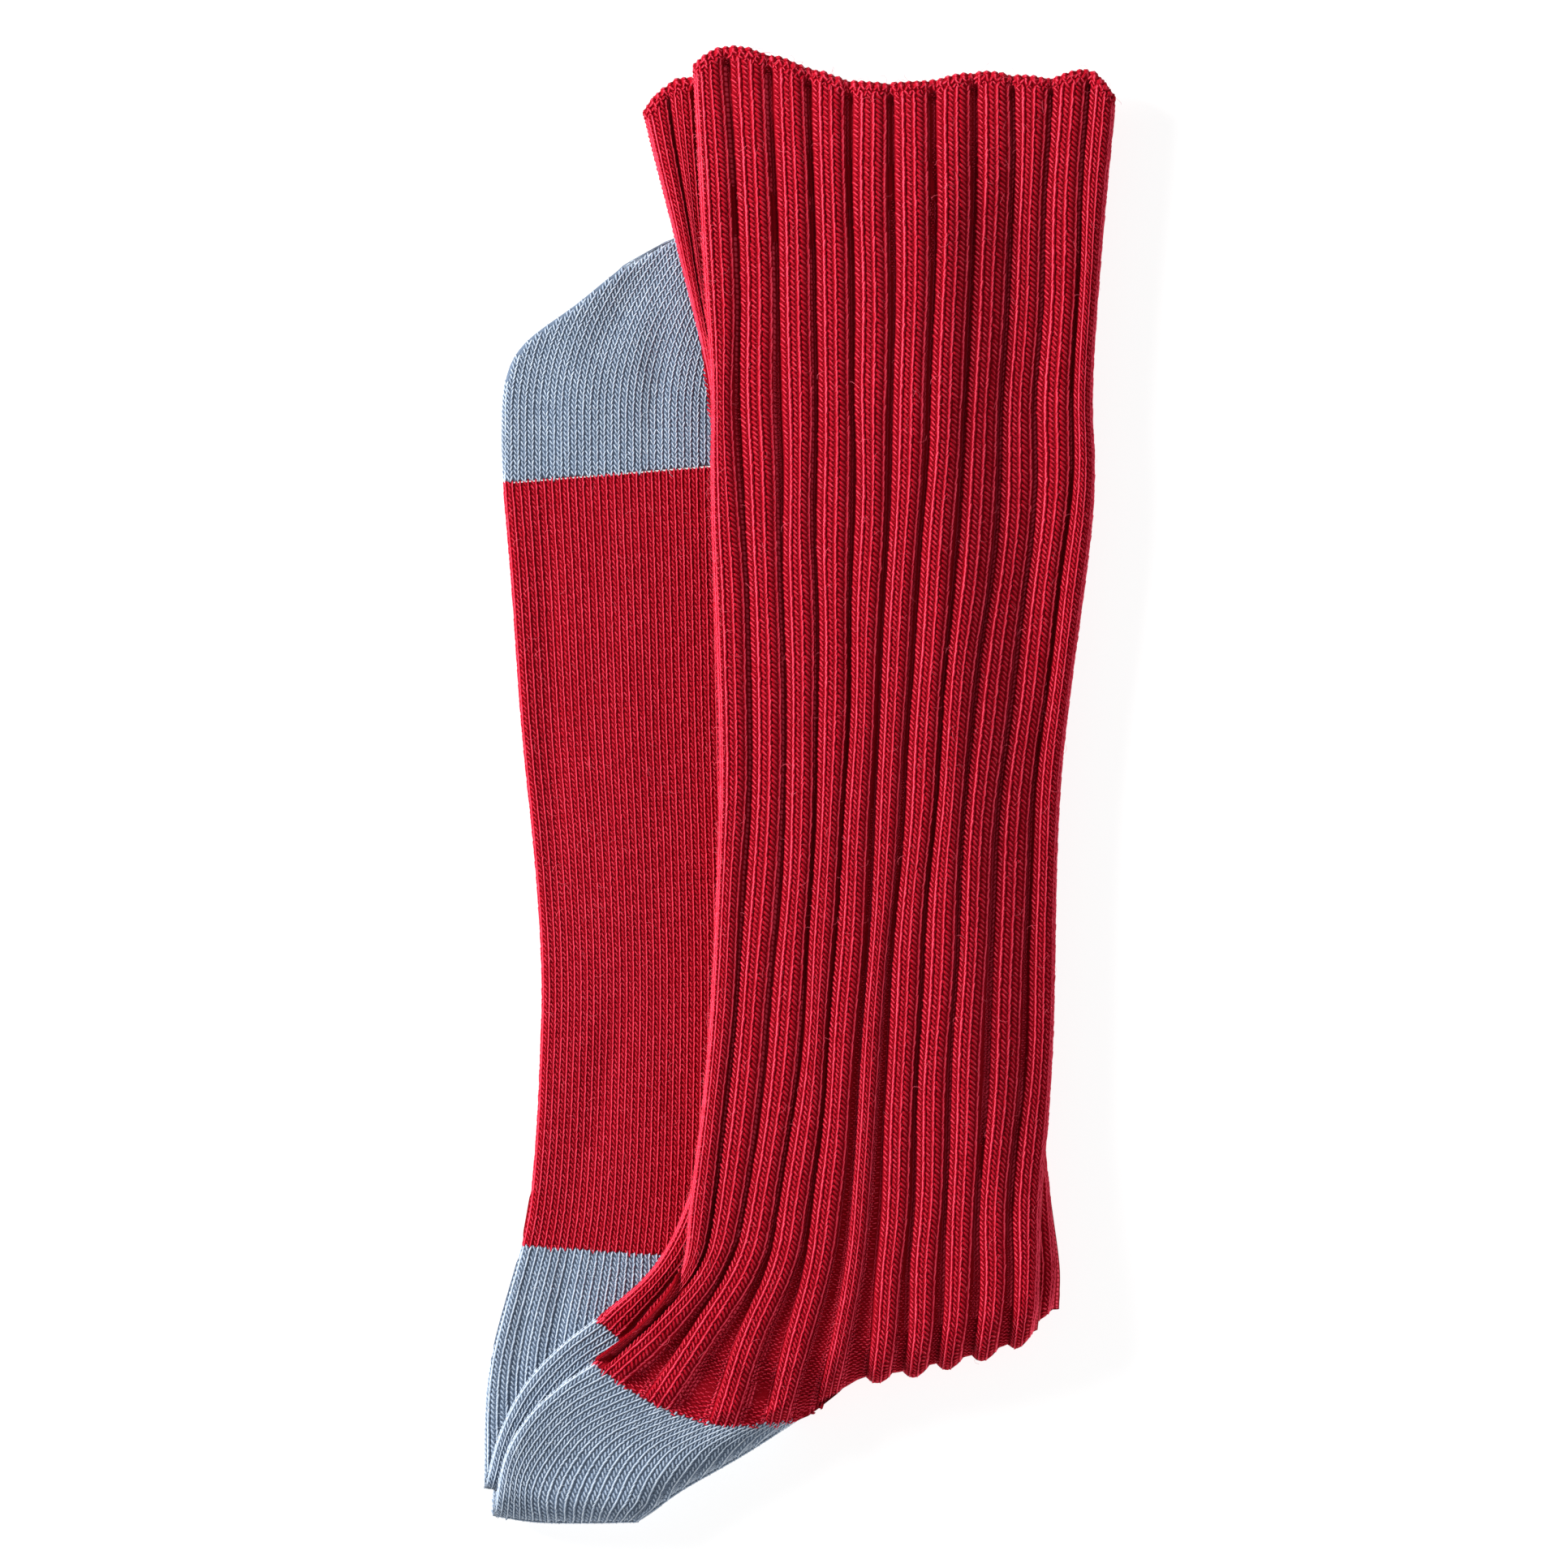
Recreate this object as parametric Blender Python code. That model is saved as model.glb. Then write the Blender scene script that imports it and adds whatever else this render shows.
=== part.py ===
"""A pair of rib socks, laid one in the other and folded once at the heel.

Each sock is one flattened tube: leg, two halves of the heel pouch, foot and toe. The legs lie on
the feet, and the outer sock wraps round the inner one at the fold. +Z is up, +Y points to the
cuffs, -X is the side of the soles, and the origin is under the middle of the pair.
"""

import bpy
import numpy as np

# ---------------------------------------------------------------- driving sizes, millimetres
RIB_TUBE = 5.0  # both walls of a ribbed leg, lying flat
PLAIN_TUBE = 2.8  # both walls of plain knitting, lying flat
SEAM_GAP = 0.3  # between pieces and between layers
LEG_GAP = 0.45  # between the two legs, whose surfaces are uneven
RIB_DEPTH = 1.4  # from a rib's crown down to its valley
RIB_FADE = 7.0  # length over which ribs and thickness fade into the heel
MOUTH_GAP = 0.6  # open slit between a cuff's two walls
MOUTH_DEPTH = 24.0  # how far the slit is open from the cuff's edge
CLOSED_EDGE = 0.12  # share of a wall's height that is left at its round edge
RIB_SQUARENESS = 5  # power that keeps a rib's crown flat and its valley narrow
RIB_NARROW = 3.0  # a rib seen edge on is flatter below this width
RIB_FOLD_FADE = 6.0  # length over which ribs fade at the fold
NOSE_WALL = 3.0  # the outer sock's cloth where it wraps round the fold
THIN_NOSE = {"upper": 1.0, "lower": 0.5}  # least half height of the outer sock at the fold
NOSE_REACH = {"leg": 7.4, "heel": 6.0}  # plan length of the outer sock's bend
INNER_REACH = {"leg": 4.2, "heel": 3.2}  # the same for the inner sock
BEND_CHANGE = (-12.0, 4.0)  # the fold changes from heel to leg between these X
SIDE_DROOP = 21.0  # the legs sink to the table over this width beside the feet
CUFF_DROOP = 28.0  # and over this length beyond the toes
TOE_REACH = 107.0  # Y of the toes' ends
LEG_RIBS = 11  # ribs that show across a flat leg
SHARP_ANGLE = 0.9  # radians between faces that are shaded as a crease

FOOT_TOP = 2 * PLAIN_TUBE + SEAM_GAP  # top of the two feet

# ---------------------------------------------------------------- the outer sock's leg
# A row for each of its edges and rib valleys, from the back edge to the front edge: the height
# of the cuff there, X at the cuff and at the seven lower heights, a point in the ankle's bend,
# and the point where the line reaches the heel or the fold.
LEG_HEIGHTS = (132.0, 99.0, 75.5, 51.0, 1.0, -48.5, -79.5, -92.0)
OUTER_LEG_LINES = (
    # cuff,  X at LEG_HEIGHTS,                                         bend,            end
    (137.5, (-20.5, -18.5, -17.0, -17.0, -15.5, -17.5, -21.0, -22.5), (-28.5, -101.5), (-39.5, -110.5)),
    (141.0, (-14.0, -12.0, -12.5, -11.0, -9.5, -13.0, -16.5, -19.5), (-27.8, -102.2), (-38.3, -111.7)),
    (139.5, (-6.0, -4.5, -4.0, -3.5, -3.0, -6.5, -10.5, -14.0), (-21.0, -103.0), (-31.0, -117.0)),
    (137.0, (1.5, 2.5, 3.0, 3.0, 3.0, 0.0, -4.0, -7.0), (-12.0, -104.0), (-17.5, -122.0)),
    (134.5, (9.5, 10.0, 10.0, 10.0, 8.5, 5.5, 2.0, 0.0), (-4.0, -106.0), (-7.0, -122.5)),
    (134.0, (17.0, 17.5, 17.5, 16.5, 14.0, 11.0, 8.5, 7.0), (3.5, -107.0), (-0.5, -121.5)),
    (134.5, (25.0, 25.5, 24.5, 23.5, 20.0, 16.5, 15.0, 14.0), (12.5, -104.0), (11.0, -113.5)),
    (136.0, (33.5, 33.0, 31.5, 30.5, 26.0, 22.5, 21.5, 20.5), (20.0, -103.5), (19.0, -112.0)),
    (135.5, (41.0, 40.0, 38.5, 37.5, 32.0, 29.0, 27.5, 27.0), (26.5, -102.5), (25.5, -110.5)),
    (135.0, (48.0, 46.5, 45.0, 44.5, 38.5, 35.5, 34.0, 33.5), (33.0, -101.5), (32.0, -109.0)),
    (136.5, (55.0, 53.0, 52.0, 51.5, 45.0, 43.0, 40.5, 40.5), (40.0, -100.0), (39.0, -107.0)),
    (131.5, (60.5, 57.5, 56.0, 56.0, 50.0, 48.5, 46.5, 46.0), (46.0, -99.0), (45.5, -104.0)),
)

# ---------------------------------------------------------------- the inner sock's leg
# A row for each course: its height, the back edge, the width of the two ribs there, and the
# front edge. Each line starts at its own height in INNER_CUFF and ends at its point in INNER_END.
INNER_LEG_ROWS = (
    # height, back, rib, front
    (129.0, -30.0, 4.6, 51.0),
    (119.0, -27.6, 4.2, 52.5),
    (99.0, -22.5, 2.4, 53.0),
    (75.5, -17.2, 1.6, 52.5),
    (51.0, -16.2, 2.0, 52.0),
    (1.0, -14.8, 3.0, 47.0),
    (-48.5, -17.0, 4.5, 46.0),
    (-67.0, -18.8, 5.0, 46.8),
    (-79.5, -21.6, 5.2, 48.2),
    (-92.0, -28.0, 5.2, 49.8),
)
INNER_CUFF = (128.5, 133.5, 135.0, 134.0, 133.0, 132.0, 131.5, 131.5, 131.5, 131.0, 130.5, 128.0)
INNER_END = (
    (-39.0, -102.0),
    (-34.5, -106.0),
    (-29.0, -110.0),
    (-20.0, -114.5),
    (-11.0, -117.2),
    (-3.5, -116.5),
    (8.5, -109.2),
    (18.0, -107.5),
    (26.0, -106.0),
    (34.0, -104.0),
    (41.5, -101.0),
    (49.6, -100.0),
)
GORE_LINE = 5  # the valley that ends where the heel's border meets the fold

# ---------------------------------------------------------------- the heel pouches
# A row for each course below the border, down to the fold, and in it the points from the back
# edge to the edge where the heel wraps under.
OUTER_HEEL_ROWS = (
    ((-46.0, -115.0), (-39.5, -123.0), (-26.5, -127.0), (-11.0, -128.2)),
    ((-52.0, -120.8), (-46.5, -128.5), (-34.5, -131.5), (-22.0, -134.5)),
    ((-56.3, -128.5), (-50.5, -134.5), (-39.0, -136.5), (-27.5, -138.4)),
    ((-58.5, -139.6), (-50.5, -140.8), (-40.5, -141.0), (-31.0, -140.8)),
)
INNER_HEEL_ROWS = (
    ((-45.8, -107.3), (-39.0, -115.5), (-27.0, -121.0), (-13.0, -123.0)),
    ((-52.3, -114.3), (-46.0, -122.0), (-35.0, -126.5), (-23.5, -129.6)),
    ((-57.0, -123.2), (-51.0, -129.0), (-41.0, -131.5), (-29.5, -133.4)),
    ((-60.2, -134.3), (-52.0, -135.3), (-43.0, -135.6), (-33.5, -135.4)),
)
# The lower half of a pouch: its last course before the foot, and one half way to the fold.
OUTER_UNDER_ROWS = (
    ((-52.4, -88.0), (-43.55, -88.6), (-34.7, -89.2), (-25.85, -89.8), (-17.0, -90.4)),
    ((-57.8, -113.0), (-47.5, -114.0), (-36.5, -113.5), (-23.5, -109.5), (-8.7, -106.0)),
)
INNER_UNDER_ROWS = (
    ((-53.0, -88.0), (-44.0, -88.6), (-35.0, -89.2), (-26.0, -89.8), (-17.0, -90.4)),
    ((-59.2, -112.0), (-48.5, -112.5), (-37.0, -112.0), (-24.0, -108.5), (-10.0, -103.5)),
)

# ---------------------------------------------------------------- feet and toes
# A row for each course from the toe to the heel: its height at the sole and at the instep, and
# X at the sole's edge and at the instep's edge.
FOOT_ROWS = (
    # sole Y, instep Y, sole X, instep X
    (57.5, 64.0, -56.6, 23.5),
    (38.5, 40.0, -55.0, 25.0),
    (10.5, 10.0, -53.0, 27.0),
    (-14.5, -15.0, -50.5, 27.5),
    (-35.5, -40.0, -49.2, 28.5),
    (-54.5, -60.0, -49.6, 30.5),
    (-74.0, -78.0, -50.8, 36.0),
)
# The same sizes nearer the fold, for what the legs lie on there.
SUPPORT_END = ((-90.0, -90.0, -55.0, 41.0), (-104.0, -104.0, -60.0, 46.0))
TOE_ROWS = (
    (57.8, 64.3, -56.6, 23.5),
    (67.0, 76.0, -57.0, 22.0),
    (77.5, 86.5, -56.2, 17.5),
    (84.5, 94.0, -52.5, 11.5),
    (92.0, 100.0, -42.6, 3.5),
    (99.5, 104.5, -33.0, -6.0),
    (106.4, 107.0, -20.5, -13.5),
)
TOE_TIP = (-17.0, 107.2)  # the middle of the toes' ends
OUTER_SOLE_INSET = 0.7  # the lower foot lies this much inside the upper one

# ---------------------------------------------------------------- finishes
FINISHES = {
    # name: (base colour, roughness)
    "cherry_red_cotton": ((0.42, 0.006, 0.020), 0.9),
    "blue_grey_cotton": ((0.30, 0.39, 0.50), 0.9),
}


# ---------------------------------------------------------------- curves and grids
def spline(points, where):
    """Points on a Catmull-Rom curve; `where` counts the given points from 0."""
    points = np.asarray(points, float)
    last = len(points) - 1
    ends = np.vstack([2 * points[0] - points[1], points, 2 * points[-1] - points[-2]])
    where = np.clip(np.asarray(where, float), 0, last)
    start = np.minimum(where.astype(int), last - 1)
    t = (where - start)[:, None]
    before, here, there, after = (ends[start + n] for n in range(4))
    return 0.5 * (
        2 * here
        + (there - before) * t
        + (2 * before - 5 * here + 4 * there - after) * t**2
        + (3 * here - before - 3 * there + after) * t**3
    )


def dense(points, steps=12):
    """A smooth curve through the points, as a fine polyline."""
    return spline(points, np.linspace(0, len(points) - 1, (len(points) - 1) * steps + 1))


def lengths(line):
    """Distance along a polyline at each of its points."""
    return np.concatenate([[0], np.cumsum(np.linalg.norm(np.diff(line, axis=0), axis=1))])


def at_length(line, distance):
    """Points of a polyline at these distances from its start."""
    along = lengths(line)
    return np.stack([np.interp(distance, along, line[:, axis]) for axis in (0, 1)], axis=-1)


def nearest(points, line):
    """Plan distance from each point to a polyline."""
    start, end = line[:-1], line[1:]
    run = end - start
    offset = points[..., None, :] - start
    share = np.clip((offset * run).sum(-1) / np.maximum((run * run).sum(-1), 1e-9), 0, 1)
    return np.linalg.norm(offset - share[..., None] * run, axis=-1).min(-1)


def ease(value):
    """Smooth step from 0 to 1."""
    t = np.clip(value, 0, 1)
    return t * t * (3 - 2 * t)


def rounded(distance, radius):
    """Share of the full height at this distance inside a round edge."""
    t = np.clip(distance / radius, 0, 1)
    return np.maximum(np.sqrt(1 - (1 - t) ** 2), CLOSED_EDGE)


# ---------------------------------------------------------------- plan curves of each sock
def outer_leg_lines():
    """The outer leg's edges and valleys as fine polylines, from the cuff down."""
    lines = []
    for cuff, across, bend, end in OUTER_LEG_LINES:
        points = [(across[0], cuff)]
        points += [(x, y) for x, y in zip(across[1:], LEG_HEIGHTS[1:])]
        lines.append(dense(points + [bend, end]))
    return lines


def inner_leg_lines():
    """The inner leg's edges and valleys: two ribs of a given width, then equal ones."""
    lines = []
    for number in range(LEG_RIBS + 1):
        points = []
        for height, back, rib, front in INNER_LEG_ROWS:
            pitch = (front - back - 2 * rib) / (LEG_RIBS - 2)
            x = back + rib * min(number, 2) + pitch * max(number - 2, 0)
            points.append((x, height))
        points[0] = (points[0][0], INNER_CUFF[number])
        lines.append(dense(points + [INNER_END[number]]))
    return lines


def column(rows, number):
    return [row[number] for row in rows]


class Sock:
    """The plan curves and layer heights of one sock."""

    def __init__(self, name, leg_lines, heel_rows, under_rows, inset):
        self.name = name
        self.outer = name == "outer"
        self.leg_lines = leg_lines
        self.inset = inset
        self.border_points = [line[-1] for line in leg_lines[: GORE_LINE + 1]]
        self.border = dense(self.border_points)
        first = at_length(self.border, np.linspace(0, 1, len(heel_rows[0])) * lengths(self.border)[-1])
        self.heel_rows = [first] + [np.array(row) for row in heel_rows]
        self.back_edge = np.vstack([leg_lines[0], dense(column(self.heel_rows, 0))])
        self.front_edge = leg_lines[-1]
        wrap = dense(column(self.heel_rows, -1))
        self.pouch_fold = np.vstack([dense(heel_rows[-1]), wrap[-2::-1]])
        ankle = dense([line[-1] for line in leg_lines[GORE_LINE:]])
        self.fold = np.vstack([self.pouch_fold, ankle[1:]])
        back = dense(column(self.heel_rows, 0))
        self.pouch = np.vstack([self.border, wrap[1:], dense(heel_rows[-1])[-2::-1], back[-2::-1]])
        shares = np.linspace(0, 1, len(under_rows[0]))
        last = at_length(self.pouch_fold, shares * lengths(self.pouch_fold)[-1])
        self.under_rows = [np.array(row) for row in under_rows] + [last]
        gore = dense(column(self.under_rows, -1))
        self.foot_end = (dense(under_rows[0]), gore, ankle)
        self.sole_edge = self.lower_edge(0, 2)
        self.instep_edge = self.lower_edge(1, 3)

    def lower_edge(self, height, across):
        """The lower tube's edge on one side, from the toe's end to the fold."""
        sign = 1 if across == 2 else -1
        rows = TOE_ROWS[::-1] + FOOT_ROWS[1:]
        points = [(row[across] + sign * self.inset, row[height]) for row in rows]
        if across == 2:
            points += [row[0] for row in self.under_rows]
        else:
            points += [self.foot_end[-1][-1]]
        return dense(points, 6)


SOCKS = {
    "outer": Sock("outer", outer_leg_lines(), OUTER_HEEL_ROWS, OUTER_UNDER_ROWS, OUTER_SOLE_INSET),
    "inner": Sock("inner", inner_leg_lines(), INNER_HEEL_ROWS, INNER_UNDER_ROWS, 0.0),
}
SOLE_END = [(sole_x, sole_y) for sole_y, _, sole_x, _ in TOE_ROWS[-2:]]
INSTEP_END = [(instep_x, instep_y) for _, instep_y, _, instep_x in TOE_ROWS[:-3:-1]]
TOE_CAP = dense(SOLE_END + [TOE_TIP] + INSTEP_END)


# ---------------------------------------------------------------- heights of the layers
def bend(points, table):
    """A fold size that changes from the heel's value to the leg's."""
    low, high = BEND_CHANGE
    share = ease((points[..., 0] - low) / (high - low))
    return table["heel"] + (table["leg"] - table["heel"]) * share


def on_feet(points):
    """Height of what the legs lie on: the feet, then down to the table beside them."""
    rows = sorted((row[1], row[3]) for row in FOOT_ROWS + SUPPORT_END)
    edge = np.interp(points[..., 1], *zip(*rows))
    side = 1 - ease((points[..., 0] - edge) / SIDE_DROOP)
    cuff = 1 - ease((points[..., 1] - TOE_REACH) / CUFF_DROOP)
    return (FOOT_TOP + SEAM_GAP) * side * cuff


def within(points, outline):
    """Whether each point lies inside a closed plan outline."""
    x, y = points[..., 0, None], points[..., 1, None]
    (x0, y0), (x1, y1) = outline[:-1].T, outline[1:].T
    crosses = (y0 > y) != (y1 > y)
    rise = np.where(y1 == y0, 1.0, y1 - y0)
    return (crosses & (x < x0 + (y - y0) * (x1 - x0) / rise)).sum(-1) % 2 == 1


def leg_share(points, sock):
    """0 in the heel and 1 in the leg, with a soft change along the border."""
    share = ease(nearest(points, sock.border) / RIB_FADE)
    return np.where(within(points, sock.pouch), 0.0, share)


def upper_thickness(points, sock):
    return PLAIN_TUBE + (RIB_TUBE - PLAIN_TUBE) * leg_share(points, sock)


def upper_base(points, sock):
    """Underside of a sock's upper tube, before its edges are rounded."""
    base = on_feet(points)
    if sock.outer:
        base = base + upper_thickness(points, SOCKS["inner"]) + LEG_GAP
    return base


def equator(points):
    """Height at which the outer sock's upper and lower tubes meet along the fold."""
    inner = SOCKS["inner"]
    return (PLAIN_TUBE + 2 * SEAM_GAP + FOOT_TOP + upper_thickness(points, inner)) / 2


def upper_heights(points, sock):
    """Top and underside of a sock's leg and upper heel, without ribs."""
    thick = upper_thickness(points, sock)
    half = thick / 2
    middle = upper_base(points, sock) + half
    edge = rounded(nearest(points, sock.back_edge), half)
    edge = edge * rounded(nearest(points, sock.front_edge), half)
    top = middle + half * edge
    low = middle - half * edge
    fold = nearest(points, sock.fold)
    if sock.outer:
        reach = bend(points, NOSE_REACH)
        floor = equator(points) + SEAM_GAP / 2
        top = floor + np.maximum(top - floor, THIN_NOSE["upper"]) * rounded(fold, reach)
        inside = np.clip((fold - NOSE_WALL) / (reach - NOSE_WALL), 0, 1)
        low = floor + (low - floor) * np.sqrt(1 - (1 - inside) ** 2)
    else:
        low = np.where(fold < NOSE_WALL, FOOT_TOP + SEAM_GAP, low)
        top = low + (top - low) * rounded(fold, bend(points, INNER_REACH))
    return top, low


def lower_heights(points, sock):
    """Top and underside of a sock's foot, toe and lower heel."""
    base = 0.0 if sock.outer else PLAIN_TUBE + SEAM_GAP
    half = PLAIN_TUBE / 2
    fold = nearest(points, sock.fold)
    edge = rounded(nearest(points, sock.sole_edge), half)
    edge = edge * rounded(nearest(points, sock.instep_edge), half)
    edge = edge * rounded(nearest(points, TOE_CAP), half)
    top = base + half + half * edge
    low = base + half - half * edge
    if sock.outer:
        reach = bend(points, NOSE_REACH)
        ceiling = equator(points) - SEAM_GAP / 2
        low = ceiling - np.maximum(ceiling - low, THIN_NOSE["lower"]) * rounded(fold, reach)
        inside = np.clip((fold - NOSE_WALL) / (reach - NOSE_WALL), 0, 1)
        top = ceiling - (ceiling - top) * np.sqrt(1 - (1 - inside) ** 2)
    else:
        low = top - (top - low) * rounded(fold, bend(points, INNER_REACH))
    return top, low


# ---------------------------------------------------------------- solids
def slab(top, low, pocket=None):
    """A closed mesh between two grids of points.

    The grids have a row for each course and share their plan. `pocket` gives the first and last
    column, the last row and the half height of a slit that is open at the first row.
    """
    rows, columns = top.shape[:2]
    points = []
    faces = []

    def keep(point):
        points.append(tuple(point))
        return len(points) - 1

    upper = [[keep(top[r, c]) for c in range(columns)] for r in range(rows)]
    lower = [[keep(low[r, c]) for c in range(columns)] for r in range(rows)]
    for r in range(rows - 1):
        for c in range(columns - 1):
            faces.append((upper[r][c], upper[r + 1][c], upper[r + 1][c + 1], upper[r][c + 1]))
            faces.append((lower[r][c], lower[r][c + 1], lower[r + 1][c + 1], lower[r + 1][c]))
        faces.append((upper[r][0], lower[r][0], lower[r + 1][0], upper[r + 1][0]))
        faces.append((upper[r][-1], upper[r + 1][-1], lower[r + 1][-1], lower[r][-1]))
    for c in range(columns - 1):
        faces.append((upper[-1][c], lower[-1][c], lower[-1][c + 1], upper[-1][c + 1]))
    if pocket is None:
        for c in range(columns - 1):
            faces.append((upper[0][c], upper[0][c + 1], lower[0][c + 1], lower[0][c]))
        return points, faces

    first, last, deep, half = pocket
    middle = (top + low) / 2
    lift = np.array([0, 0, half])
    roof = {}
    floor = {}
    for r in range(deep + 1):
        for c in range(first, last + 1):
            roof[r, c] = keep(middle[r, c] + lift)
            floor[r, c] = keep(middle[r, c] - lift)
    for c in range(columns - 1):
        if c < first - 1 or c > last:
            faces.append((upper[0][c], upper[0][c + 1], lower[0][c + 1], lower[0][c]))
    before, after = first - 1, last + 1
    back = (upper[0][before], upper[0][first], roof[0, first])
    faces.append(back + (floor[0, first], lower[0][first], lower[0][before]))
    front = (upper[0][last], upper[0][after], lower[0][after])
    faces.append(front + (lower[0][last], floor[0, last], roof[0, last]))
    for c in range(first, last):
        faces.append((upper[0][c], upper[0][c + 1], roof[0, c + 1], roof[0, c]))
        faces.append((floor[0, c], floor[0, c + 1], lower[0][c + 1], lower[0][c]))
        faces.append((roof[deep, c], roof[deep, c + 1], floor[deep, c + 1], floor[deep, c]))
        for r in range(deep):
            faces.append((roof[r, c], roof[r, c + 1], roof[r + 1, c + 1], roof[r + 1, c]))
            faces.append((floor[r, c], floor[r + 1, c], floor[r + 1, c + 1], floor[r, c + 1]))
    for r in range(deep):
        faces.append((roof[r, first], roof[r + 1, first], floor[r + 1, first], floor[r, first]))
        faces.append((roof[r, last], floor[r, last], floor[r + 1, last], roof[r + 1, last]))
    return points, faces


def finish(name):
    colour, roughness = FINISHES[name]
    material = bpy.data.materials.get(name) or bpy.data.materials.new(name)
    material.use_nodes = True
    shader = material.node_tree.nodes["Principled BSDF"]
    shader.inputs["Base Color"].default_value = (*colour, 1.0)
    shader.inputs["Roughness"].default_value = roughness
    shader.inputs["Metallic"].default_value = 0.0
    material.diffuse_color = (*colour, 1.0)
    return material


def add_piece(name, grids, cloth, pocket=None):
    """Makes one named object from a slab's two grids, given in millimetres."""
    points, faces = slab(*grids, pocket)
    mesh = bpy.data.meshes.new(name)
    mesh.from_pydata([tuple(value / 1000 for value in point) for point in points], [], faces)
    mesh.validate()
    mesh.materials.append(finish(cloth))
    mesh.shade_smooth()
    mesh.set_sharp_from_angle(angle=SHARP_ANGLE)
    piece = bpy.data.objects.new(name, mesh)
    bpy.context.collection.objects.link(piece)
    return piece


def with_heights(plan, heights):
    return tuple(np.concatenate([plan, z[..., None]], axis=-1) for z in heights)


# ---------------------------------------------------------------- legs
RIB_COLUMNS = (0.0, 0.18, 0.82)  # valley and the rib's two shoulders
EDGE_COLUMNS = (0.0, 0.05, 0.2, 0.5, 0.86)  # where the tube turns under
FROM_CUFF = (0.0, 4.0, 9.0, 14.0, 19.0, 24.0, 31.0, 40.0)
FROM_END = (32.0, 21.0, 12.5, 7.4, 4.6, 2.3, 0.8, 0.0)
EVEN_COURSES = 4


def leg_columns(ribbed):
    """Columns across a leg as line numbers: close together on the ribs that are modelled."""
    columns = []
    for rib in range(LEG_RIBS):
        shares = RIB_COLUMNS if ribbed(rib) else (0.0,)
        if rib == 0:
            shares = EDGE_COLUMNS
        if rib == LEG_RIBS - 1:
            shares = (0.0,) + tuple(1 - share for share in EDGE_COLUMNS[:0:-1]) + (1.0,)
        columns += [rib + share for share in shares]
    return columns


def leg_plan(sock, columns):
    """Plan positions of a leg's grid: rows follow the courses, columns the ribs."""
    totals = [lengths(line)[-1] for line in sock.leg_lines]
    plan = []
    for number in columns:
        left = min(int(number), LEG_RIBS - 1)
        share = number - left
        ends = []
        for line, total in zip(sock.leg_lines[left : left + 2], totals[left : left + 2]):
            first, last = FROM_CUFF[-1], total - FROM_END[0]
            between = np.linspace(first, last, EVEN_COURSES + 2)[1:-1]
            stops = np.concatenate([FROM_CUFF, between, total - np.array(FROM_END)])
            ends.append(at_length(line, stops))
        plan.append(ends[0] * (1 - share) + ends[1] * share)
    plan = np.stack(plan, axis=1)
    seam = np.array(columns) <= GORE_LINE
    plan[-1, seam] = spline(sock.border_points, np.array(columns)[seam])
    toward = plan[-2] - plan[-1]
    toward /= np.linalg.norm(toward, axis=-1, keepdims=True)
    plan[-1, seam] += toward[seam] * SEAM_GAP / 2
    return plan


def rib_relief(plan, columns, sock, ribbed):
    """How far each point of a leg lies under the crowns of its ribs."""
    relief = np.zeros(plan.shape[:2])
    fade = leg_share(plan, sock) * rounded(nearest(plan, sock.fold), RIB_FOLD_FADE)
    crossing = {round(number): place for place, number in enumerate(columns) if number == round(number)}
    for place, number in enumerate(columns):
        rib = min(int(number), LEG_RIBS - 1)
        share = number - rib
        depth = abs(2 * share - 1) ** RIB_SQUARENESS
        if number in (0, LEG_RIBS) or (not ribbed(rib) and not (share == 0 and ribbed(rib - 1))):
            depth = 0.0
        if rib == 0 and share < 0.5 or rib == LEG_RIBS - 1 and share > 0.5:
            depth = 0.0
        narrow = 1.0
        if number <= 1:
            width = np.linalg.norm(plan[:, crossing[1]] - plan[:, crossing[0]], axis=-1)
            narrow = ease(width / RIB_NARROW)
        relief[:, place] = RIB_DEPTH * depth * narrow
    return relief * fade


def add_leg(sock, ribbed):
    columns = leg_columns(ribbed)
    plan = leg_plan(sock, columns)
    top, low = upper_heights(plan, sock)
    top = top - rib_relief(plan, columns, sock, ribbed)
    deep = sum(stop <= MOUTH_DEPTH for stop in FROM_CUFF) - 1
    pocket = (3, len(columns) - 4, deep, MOUTH_GAP / 2)
    return add_piece(sock.name + "_leg", with_heights(plan, (top, low)), "cherry_red_cotton", pocket)


# ---------------------------------------------------------------- heels
HEEL_COLUMNS = (0.0, 0.03, 0.12, 0.28, 0.47, 0.64, 0.78, 0.87, 0.94, 1.0)
HEEL_COURSES = (0.0, 0.25, 0.5, 0.68, 0.78, 0.86, 0.9, 0.93, 0.97, 1.0)


def table_plan(rows, columns, courses):
    """A grid through a table of points, smooth both ways."""
    across = [spline(row, np.array(columns) * (len(row) - 1)) for row in rows]
    across = np.stack(across)
    places = np.array(courses) * (len(rows) - 1)
    return np.stack([spline(across[:, c], places) for c in range(len(columns))], axis=1)


def shrink(plan, row=None, column=None):
    """Draws one border of a plan back by half a seam."""
    if row is not None:
        inside = plan[row + 1 if row == 0 else row - 1]
        step = inside - plan[row]
        plan[row] += step / np.linalg.norm(step, axis=-1, keepdims=True) * SEAM_GAP / 2
    if column is not None:
        inside = plan[:, column + 1 if column == 0 else column - 1]
        step = inside - plan[:, column]
        plan[:, column] += step / np.linalg.norm(step, axis=-1, keepdims=True) * SEAM_GAP
    return plan


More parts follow.
